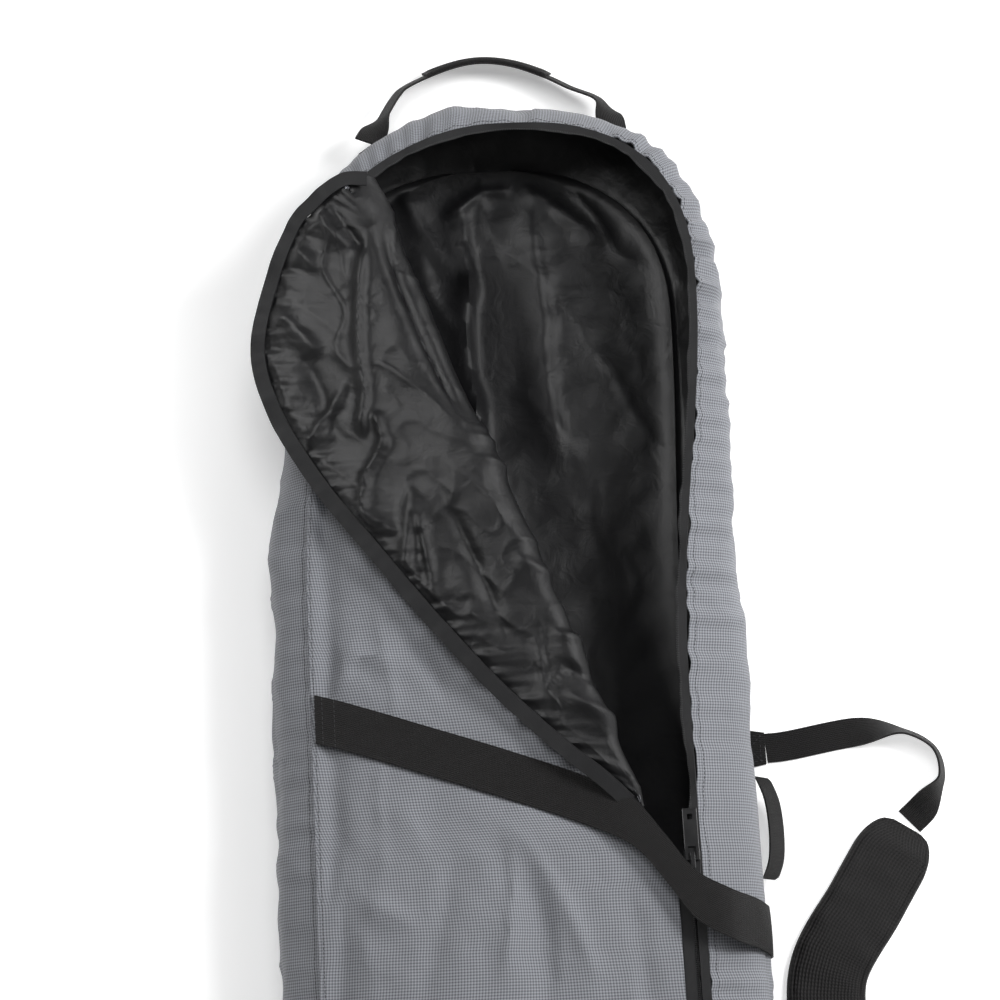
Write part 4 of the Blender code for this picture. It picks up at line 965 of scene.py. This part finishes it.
def make_stitching(sizes):
    thread = finish("thread")

    def sew(name, body, lines):
        row = repeat_along(name, lines, thread, sizes.stitch * 1.25, sizes.thread, sizes.thread * 0.8, sizes.stitch)
        return keep(row, body, "webbing")

    wall = wall_surface(sizes)
    last = wall.shape[1] - 1
    sew("wall_seam_stitches", "bag",
        [column_line(wall, last - 1.1, 0.0002, True), column_line(wall, 1.2, 0.0002, True)])
    front = front_surface(sizes)
    last = front.shape[1] - 1
    sew("front_seam_stitches", "bag", [column_line(front, last - 0.9, 0.0002)])
    tape = flap_tape_surface()
    sew("flap_binding_stitches", "flap", [column_line(tape, 1.2, 0.0001), column_line(tape, 5.0, 0.0001)])
    rows = []
    for shift in (0.0, STRAP_SHIFT):
        path = strap_line(shift)
        for n in (3, 8):
            across = np.linspace(-0.018, 0.018, 14)
            rows.append(path[n] + np.column_stack([0 * across, across, 0 * across + 0.0010]))
    for y in (SHOULDER_UPPER[0][1], SHOULDER_LOWER[-1][1]):
        rows += box_rows([(0.196, y - 0.018, 0.0024), (0.2245, y - 0.0137, 0.0024), (0.2245, y + 0.0137, 0.0024),
                          (0.196, y + 0.018, 0.0024)])
    for end in (1, -1):
        for x in handle_feet(end)[2]:
            patch = handle_patch(end, x)
            normal = unit(np.cross(patch[-1, 0] - patch[0, 0], patch[0, -1] - patch[0, 0]))
            lift = normal * (WEBBING + 0.0010)
            rows += box_rows([patch[0, 0], patch[-1, 0], patch[-1, -1], patch[0, -1]], lift)
    sew("web_box_stitches", "bag", rows)


# ---- Finishes ----
def add_node(tree, kind, inputs=None, **settings):
    node = tree.nodes.new(kind)
    for key, value in settings.items():
        setattr(node, key, value)
    for key, value in (inputs or {}).items():
        if isinstance(value, bpy.types.NodeSocket):
            tree.links.new(value, node.inputs[key])
        else:
            node.inputs[key].default_value = value
    return node


def new_group(name, inputs, outputs):
    """A shader group with these inputs and outputs, each name with its kind and an input's value."""
    tree = bpy.data.node_groups.new(name, "ShaderNodeTree")
    for label, kind, value in inputs:
        socket = tree.interface.new_socket(label, in_out="INPUT", socket_type=kind)
        if value is not None:
            socket.default_value = value
    for label, kind in outputs:
        tree.interface.new_socket(label, in_out="OUTPUT", socket_type=kind)
    return tree, tree.nodes.new("NodeGroupInput").outputs, tree.nodes.new("NodeGroupOutput").inputs


def wave(tree, value, pitch):
    """Sine of this value with one turn to each pitch."""
    turns = add_node(tree, "ShaderNodeMath", {0: value, 1: pitch}, operation="DIVIDE")
    angle = add_node(tree, "ShaderNodeMath", {0: turns.outputs[0], 1: math.tau}, operation="MULTIPLY")
    return add_node(tree, "ShaderNodeMath", {0: angle.outputs[0]}, operation="SINE").outputs[0]


def check_group():
    """Square check of light and dark yarns, with the plain weave under it."""
    tree, given, made = new_group(
        "Woven check",
        [("Vector", "NodeSocketVector", None), ("Pitch", "NodeSocketFloat", 0.0024),
         ("Light", "NodeSocketColor", (1, 1, 1, 1)), ("Dark", "NodeSocketColor", (0, 0, 0, 1))],
        [("Color", "NodeSocketColor"), ("Height", "NodeSocketFloat")])
    axes = add_node(tree, "ShaderNodeSeparateXYZ", {0: given["Vector"]}).outputs
    bands = []
    for axis in ("X", "Y"):
        band = add_node(tree, "ShaderNodeMapRange", {"Value": wave(tree, axes[axis], given["Pitch"]),
                                                      "From Min": -0.45,
                                                     "From Max": 0.45}, interpolation_type="SMOOTHSTEP")
        bands.append(band.outputs["Result"])
    both = add_node(tree, "ShaderNodeMath", {0: bands[0], 1: bands[1]}, operation="ADD")
    share = add_node(tree, "ShaderNodeMath", {0: both.outputs[0], 1: 0.5}, operation="MULTIPLY")
    color = add_node(tree, "ShaderNodeMix", {"Factor": share.outputs[0]}, data_type="RGBA")
    tree.links.new(given["Dark"], color.inputs[6])
    tree.links.new(given["Light"], color.inputs[7])
    tree.links.new(color.outputs[2], made["Color"])
    fine = add_node(tree, "ShaderNodeMath", {0: given["Pitch"], 1: 0.25}, operation="MULTIPLY").outputs[0]
    yarn = add_node(tree, "ShaderNodeMath", {0: wave(tree, axes["X"], fine), 1: wave(tree, axes["Y"], fine)},
                    operation="MULTIPLY")
    tree.links.new(yarn.outputs[0], made["Height"])
    return tree


def rib_group():
    """Ribs that run along a web, crossed by short slanting yarns."""
    tree, given, made = new_group(
        "Webbing ribs",
        [("Vector", "NodeSocketVector", None), ("Rib", "NodeSocketFloat", 0.0016),
         ("Yarn", "NodeSocketFloat", 0.0012)],
        [("Height", "NodeSocketFloat"), ("Shade", "NodeSocketFloat")])
    axes = add_node(tree, "ShaderNodeSeparateXYZ", {0: given["Vector"]}).outputs
    ribs = wave(tree, axes["Y"], given["Rib"])
    slant = add_node(tree, "ShaderNodeMath", {0: ribs, 1: 0.0003}, operation="MULTIPLY")
    moved = add_node(tree, "ShaderNodeMath", {0: axes["X"], 1: slant.outputs[0]}, operation="ADD")
    yarns = wave(tree, moved.outputs[0], given["Yarn"])
    half = add_node(tree, "ShaderNodeMath", {0: yarns, 1: 0.5}, operation="MULTIPLY")
    height = add_node(tree, "ShaderNodeMath", {0: ribs, 1: half.outputs[0]}, operation="ADD")
    tree.links.new(height.outputs[0], made["Height"])
    # Shade is painted shade and highlight: the web's colour is darker in the grooves between the ribs and lighter on
    # their crests.
    shade = add_node(tree, "ShaderNodeMapRange", {"Value": height.outputs[0], "From Min": -1.5, "From Max": 1.5,
                                                  "To Min": 0.35, "To Max": 1.65})
    tree.links.new(shade.outputs["Result"], made["Shade"])
    return tree


def crumple_group():
    """Soft handling wrinkles and an uneven tone."""
    tree, given, made = new_group(
        "Handled cloth",
        [("Vector", "NodeSocketVector", None), ("Size", "NodeSocketFloat", 0.03),
         ("Contrast", "NodeSocketFloat", 0.15)],
        [("Height", "NodeSocketFloat"), ("Tone", "NodeSocketFloat"), ("Patches", "NodeSocketFloat")])
    pace = add_node(tree, "ShaderNodeMath", {0: 1.0, 1: given["Size"]}, operation="DIVIDE").outputs[0]
    folds = add_node(tree, "ShaderNodeTexNoise", {"Vector": given["Vector"], "Scale": pace, "Detail": 3.0,
                                                  "Roughness": 0.55, "Distortion": 0.6})
    tree.links.new(folds.outputs["Fac"], made["Height"])
    broad = add_node(tree, "ShaderNodeMath", {0: pace, 1: 0.35}, operation="MULTIPLY").outputs[0]
    patches = add_node(tree, "ShaderNodeTexNoise", {"Vector": given["Vector"], "Scale": broad, "Detail": 5.0,
                                                    "Roughness": 0.6})
    tree.links.new(patches.outputs["Fac"], made["Patches"])
    centred = add_node(tree, "ShaderNodeMath", {0: patches.outputs["Fac"], 1: 0.5}, operation="SUBTRACT")
    tone = add_node(tree, "ShaderNodeMath", {0: centred.outputs[0], 1: given["Contrast"], 2: 1.0},
                    operation="MULTIPLY_ADD")
    tree.links.new(tone.outputs[0], made["Tone"])
    return tree


def use_group(tree, group, inputs):
    node = add_node(tree, "ShaderNodeGroup", node_tree=group)
    for key, value in inputs.items():
        if isinstance(value, bpy.types.NodeSocket):
            tree.links.new(value, node.inputs[key])
        else:
            node.inputs[key].default_value = value
    return node.outputs


def tinted(tree, color, factor):
    """The colour made lighter or darker by the factor."""
    node = add_node(tree, "ShaderNodeVectorMath", {1: factor}, operation="MULTIPLY")
    if isinstance(color, bpy.types.NodeSocket):
        tree.links.new(color, node.inputs[0])
    else:
        node.inputs[0].default_value = tuple(color)[:3]
    return node.outputs[0]


def ranged(tree, value, low, high):
    return add_node(tree, "ShaderNodeMapRange", {"Value": value, "From Min": 0.3, "From Max": 0.7, "To Min": low,
                                                 "To Max": high}).outputs["Result"]


def bumped(tree, height, distance, strength=1.0, under=None):
    inputs = {"Height": height, "Distance": distance, "Strength": strength}
    if under is not None:
        inputs["Normal"] = under
    return add_node(tree, "ShaderNodeBump", inputs).outputs["Normal"]


def new_finish(name):
    material = bpy.data.materials.new(name)
    material.use_nodes = True
    tree = material.node_tree
    coordinates = tree.nodes.new("ShaderNodeTexCoord").outputs
    return material, tree, tree.nodes["Principled BSDF"].inputs, coordinates["UV"], coordinates["Object"]


FINISHES = {}


def finish(name):
    return FINISHES[name]


def make_finishes(sizes, colours):
    check, ribs, handled = check_group(), rib_group(), crumple_group()
    material, tree, shader, uv, place = new_finish("grey_check_shell")
    woven = use_group(tree, check, {"Vector": uv, "Pitch": sizes.check, "Light": (*colours.check_light, 1),
                                    "Dark": (*colours.check_dark, 1)})
    worn = use_group(tree, handled, {"Vector": place, "Size": 0.045, "Contrast": 0.35})
    tree.links.new(tinted(tree, woven["Color"], worn["Tone"]), shader["Base Color"])
    tree.links.new(ranged(tree, worn["Patches"], 0.58, 0.72), shader["Roughness"])
    soft = bumped(tree, worn["Height"], 0.0026, 0.8)
    tree.links.new(bumped(tree, woven["Height"], 0.0001, 0.5, soft), shader["Normal"])
    shader["Sheen Weight"].default_value = 0.15
    shader["Specular IOR Level"].default_value = 0.35
    FINISHES["shell"] = material

    material, tree, shader, uv, place = new_finish("black_nylon_lining")
    worn = use_group(tree, handled, {"Vector": place, "Size": 0.022, "Contrast": 0.6})
    woven = use_group(tree, check, {"Vector": uv, "Pitch": 0.0030})
    tree.links.new(tinted(tree, colours.lining, worn["Tone"]), shader["Base Color"])
    tree.links.new(ranged(tree, worn["Patches"], 0.40, 0.50), shader["Roughness"])
    soft = bumped(tree, worn["Height"], 0.0016, 0.8)
    tree.links.new(bumped(tree, woven["Height"], 0.00006, 0.5, soft), shader["Normal"])
    shader["Specular IOR Level"].default_value = 0.35
    FINISHES["lining"] = material

    for key, label, color, rib, yarn, low, high, depth in (
        ("web", "black_webbing", colours.web, sizes.rib, 0.0013, 0.62, 0.74, 0.00050),
        ("tape", "black_zip_tape", colours.tape, 0.0009, 0.0008, 0.55, 0.66, 0.00010),
        ("pad", "black_pad_cloth", colours.web, 0.0028, 0.0028, 0.68, 0.80, 0.00030),
    ):
        material, tree, shader, uv, place = new_finish(label)
        woven = use_group(tree, ribs, {"Vector": uv, "Rib": rib, "Yarn": yarn})
        worn = use_group(tree, handled, {"Vector": place, "Size": 0.030, "Contrast": 0.5})
        # The colour is the ribs' painted shade and highlight times the random tone.
        shade = add_node(tree, "ShaderNodeMath", {0: woven["Shade"], 1: worn["Tone"]}, operation="MULTIPLY")
        tree.links.new(tinted(tree, color, shade.outputs[0]), shader["Base Color"])
        tree.links.new(ranged(tree, worn["Patches"], low, high), shader["Roughness"])
        soft = bumped(tree, worn["Height"], 0.0008, 0.6)
        tree.links.new(bumped(tree, woven["Height"], depth, 0.8, soft), shader["Normal"])
        shader["Specular IOR Level"].default_value = 0.3
        FINISHES[key] = material

    for key, label, color, grain, low, high, metallic, depth in (
        ("coil", "black_zip_coil", (0.010, 0.010, 0.011), 0.004, 0.30, 0.42, 0.0, 0.00003),
        ("thread", "dark_thread", colours.thread, 0.002, 0.60, 0.75, 0.0, 0.00005),
        ("metal", "black_painted_zip_metal", (0.020, 0.020, 0.021), 0.006, 0.26, 0.40, 0.35, 0.00004),
        ("plastic", "black_acetal", (0.012, 0.012, 0.012), 0.0015, 0.38, 0.48, 0.0, 0.00005),
    ):
        material, tree, shader, uv, place = new_finish(label)
        worn = use_group(tree, handled, {"Vector": place, "Size": grain, "Contrast": 0.5})
        tree.links.new(tinted(tree, color, worn["Tone"]), shader["Base Color"])
        tree.links.new(ranged(tree, worn["Patches"], low, high), shader["Roughness"])
        tree.links.new(bumped(tree, worn["Height"], depth, 0.6), shader["Normal"])
        shader["Metallic"].default_value = metallic
        FINISHES[key] = material


def refinish(key, *nodes):
    """Gives these solids, which stay in view, this finish."""
    for node in nodes:
        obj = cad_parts[node]
        for slot in obj.material_slots:
            slot.material = finish(key)


# ---- Stage ----
CAMERA_TARGET = Vector((0.012, 0.483, 0.08))
CAMERA_HEIGHT = math.radians(75)
CAMERA_DISTANCE = 2.1
CAMERA_ROLL = math.radians(3.1)


def area_light(name, place, size, power, target=(0.0, 0.35, 0.05), diffuse=True, sheen=True):
    data = bpy.data.lights.new(name, "AREA")
    data.shape = "DISK"
    data.size = size
    data.energy = power
    light = linked(name, data)
    light.location = place
    light.visible_diffuse, light.visible_glossy = diffuse, sheen
    light.rotation_euler = (Vector(target) - Vector(place)).to_track_quat("-Z", "Y").to_euler()


def make_stage():
    material, tree, shader, _, place = new_finish("pale_floor")
    worn = add_node(tree, "ShaderNodeTexNoise", {"Vector": place, "Scale": 3.0, "Detail": 2.0})
    tone = ranged(tree, worn.outputs["Fac"], 0.985, 1.0)
    tree.links.new(tinted(tree, (0.90, 0.90, 0.90), tone), shader["Base Color"])
    shader["Roughness"].default_value = 0.9
    shader["Specular IOR Level"].default_value = 0.1
    # The floor glows, a painted light that also lights the bag from below. Its glow is weaker within about 0.19 to
    # 0.34 m of the bag's middle line, a painted shadow round the bag.
    shader["Emission Color"].default_value = (1, 1, 1, 1)
    beside = add_node(tree, "ShaderNodeMath", {0: add_node(tree, "ShaderNodeSeparateXYZ", {0: place}).outputs["X"]},
                      operation="ABSOLUTE")
    glow_with_painted_shadow = add_node(tree, "ShaderNodeMapRange", {"Value": beside.outputs[0], "From Min": 0.19, "From Max": 0.34,
                                                  "To Min": 0.30, "To Max": 0.62}, interpolation_type="SMOOTHSTEP")
    tree.links.new(glow_with_painted_shadow.outputs["Result"], shader["Emission Strength"])
    bm = bmesh.new()
    bmesh.ops.create_grid(bm, x_segments=2, y_segments=2, size=6.0)
    mesh = bpy.data.meshes.new("floor")
    bm.to_mesh(mesh)
    bm.free()
    mesh.materials.append(material)
    mesh.transform(Matrix.Translation((0, 0, -0.0002)))
    floor = linked("floor", mesh)
    world = bpy.data.worlds.new("studio")
    bpy.context.scene.world = world
    world.use_nodes = True
    sky = world.node_tree
    height = add_node(sky, "ShaderNodeSeparateXYZ", {0: sky.nodes.new("ShaderNodeTexCoord").outputs["Generated"]})
    rise = add_node(sky, "ShaderNodeMapRange", {"Value": height.outputs["Z"], "From Min": 0.15, "From Max": 0.95,
                                                "To Min": 0.50, "To Max": 0.07}, interpolation_type="SMOOTHSTEP")
    sidelong = add_node(sky, "ShaderNodeMath", {0: height.outputs["X"], 1: 0.72, 2: 1.0}, operation="MULTIPLY_ADD")
    glow = add_node(sky, "ShaderNodeMath", {0: rise.outputs["Result"], 1: sidelong.outputs[0]}, operation="MULTIPLY")
    sky.nodes["Background"].inputs["Color"].default_value = (1, 1, 1, 1)
    sky.links.new(glow.outputs[0], sky.nodes["Background"].inputs["Strength"])
    bpy.context.scene.view_settings.view_transform = "Standard"
    area_light("key_softbox", (1.65, 0.85, 1.75), 0.9, 44)
    area_light("overhead_softbox", (-0.1, 1.0, 2.4), 1.3, 27, sheen=False)
    area_light("sheen_softbox", (-1.65, 1.15, 1.95), 0.9, 54, target=(-0.1, 0.6, 0.1), diffuse=False)
    data = bpy.data.cameras.new("camera")
    data.lens, data.sensor_width = 90, 36
    data.clip_start, data.clip_end = 0.05, 50
    camera = linked("camera", data)
    away = Vector((0, -math.cos(CAMERA_HEIGHT), math.sin(CAMERA_HEIGHT)))
    right = Vector((1, 0, 0))
    up = away.cross(right)
    tilted_right = right * math.cos(CAMERA_ROLL) - up * math.sin(CAMERA_ROLL)
    tilted_up = right * math.sin(CAMERA_ROLL) + up * math.cos(CAMERA_ROLL)
    turn = Matrix((tilted_right, tilted_up, away)).transposed()
    camera.matrix_world = Matrix.Translation(CAMERA_TARGET + away * CAMERA_DISTANCE) @ turn.to_4x4()
    bpy.context.scene.camera = camera


# ---- Operators ----
class MakeStage(bpy.types.Operator):
    """Lays the pale floor and sets the lights and the camera"""

    bl_idname = "bag.stage"
    bl_label = "Stage"

    def execute(self, context):
        make_stage()
        return {"FINISHED"}


class MakeFinishes(bpy.types.Operator):
    """Mixes the cloth, web, zip and plastic finishes"""

    bl_idname = "bag.finishes"
    bl_label = "Finishes"

    def execute(self, context):
        make_finishes(context.scene.bag_sizes, context.scene.bag_colours)
        return {"FINISHED"}


class SewSideWall(bpy.types.Operator):
    """Sews the side wall and its lining all round the bag"""

    bl_idname = "bag.side_wall"
    bl_label = "Side wall"

    def execute(self, context):
        make_side_wall(context.scene.bag_sizes)
        return {"FINISHED"}


class SewBack(bpy.types.Operator):
    """Lays the back panel and the loose lining inside it"""

    bl_idname = "bag.back"
    bl_label = "Back"

    def execute(self, context):
        make_back(context.scene.bag_sizes)
        return {"FINISHED"}


class SewFront(bpy.types.Operator):
    """Sews the front panel and its lining"""

    bl_idname = "bag.front"
    bl_label = "Front panel"

    def execute(self, context):
        make_front(context.scene.bag_sizes)
        return {"FINISHED"}


class FoldFlap(bpy.types.Operator):
    """Rolls the open end of the front panel back over itself"""

    bl_idname = "bag.flap"
    bl_label = "Flap"

    def execute(self, context):
        make_flap(context.scene.bag_sizes)
        return {"FINISHED"}


class SewZip(bpy.types.Operator):
    """Sews the zip's tapes and lays its teeth"""

    bl_idname = "bag.zip"
    bl_label = "Zip"

    def execute(self, context):
        make_zip(context.scene.bag_sizes)
        return {"FINISHED"}


class SewCrossStraps(bpy.types.Operator):
    """Lays the two cross straps and their adjusters"""

    bl_idname = "bag.cross_straps"
    bl_label = "Cross straps"

    def execute(self, context):
        make_cross_straps()
        return {"FINISHED"}


class SewHandles(bpy.types.Operator):
    """Sews the grab handles at the head and the tail"""

    bl_idname = "bag.handles"
    bl_label = "Grab handles"

    def execute(self, context):
        make_handles()
        return {"FINISHED"}


class SewSideLoop(bpy.types.Operator):
    """Sews the small carry loop beside the zip"""

    bl_idname = "bag.side_loop"
    bl_label = "Side loop"

    def execute(self, context):
        make_side_loop()
        return {"FINISHED"}


class LayShoulderStrap(bpy.types.Operator):
    """Lays the shoulder strap and its pad on the floor"""

    bl_idname = "bag.shoulder_strap"
    bl_label = "Shoulder strap"

    def execute(self, context):
        make_shoulder_strap()
        return {"FINISHED"}


class SewStitching(bpy.types.Operator):
    """Runs the rows of stitches along the seams"""

    bl_idname = "bag.stitching"
    bl_label = "Stitching"

    def execute(self, context):
        make_stitching(context.scene.bag_sizes)
        return {"FINISHED"}


OPERATORS = (MakeStage, MakeFinishes, SewSideWall, SewBack, SewFront, FoldFlap, SewZip, SewCrossStraps, SewHandles,
             SewSideLoop, LayShoulderStrap, SewStitching)


class BagPanel(bpy.types.Panel):
    """The bag's sizes, colours and pieces"""

    bl_idname = "VIEW3D_PT_bag"
    bl_label = "Snowboard bag"
    bl_space_type = "VIEW_3D"
    bl_region_type = "UI"
    bl_category = "Bag"

    def draw(self, context):
        for group in (context.scene.bag_sizes, context.scene.bag_colours):
            column = self.layout.column(align=True)
            for name in group.bl_rna.properties.keys():
                if name not in ("rna_type", "name"):
                    column.prop(group, name)
        column = self.layout.column(align=True)
        for operator in OPERATORS:
            column.operator(operator.bl_idname)


CLASSES = (BagSizes, BagColours, *OPERATORS, BagPanel)


def register():
    for item in CLASSES:
        bpy.utils.register_class(item)
    bpy.types.Scene.bag_sizes = PointerProperty(type=BagSizes)
    bpy.types.Scene.bag_colours = PointerProperty(type=BagColours)


def unregister():
    del bpy.types.Scene.bag_colours
    del bpy.types.Scene.bag_sizes
    for item in reversed(CLASSES):
        bpy.utils.unregister_class(item)


def main():
    register()
    for operator in OPERATORS:
        group, name = operator.bl_idname.split(".")
        getattr(getattr(bpy.ops, group), name)()


if __name__ == "__main__":
    main()
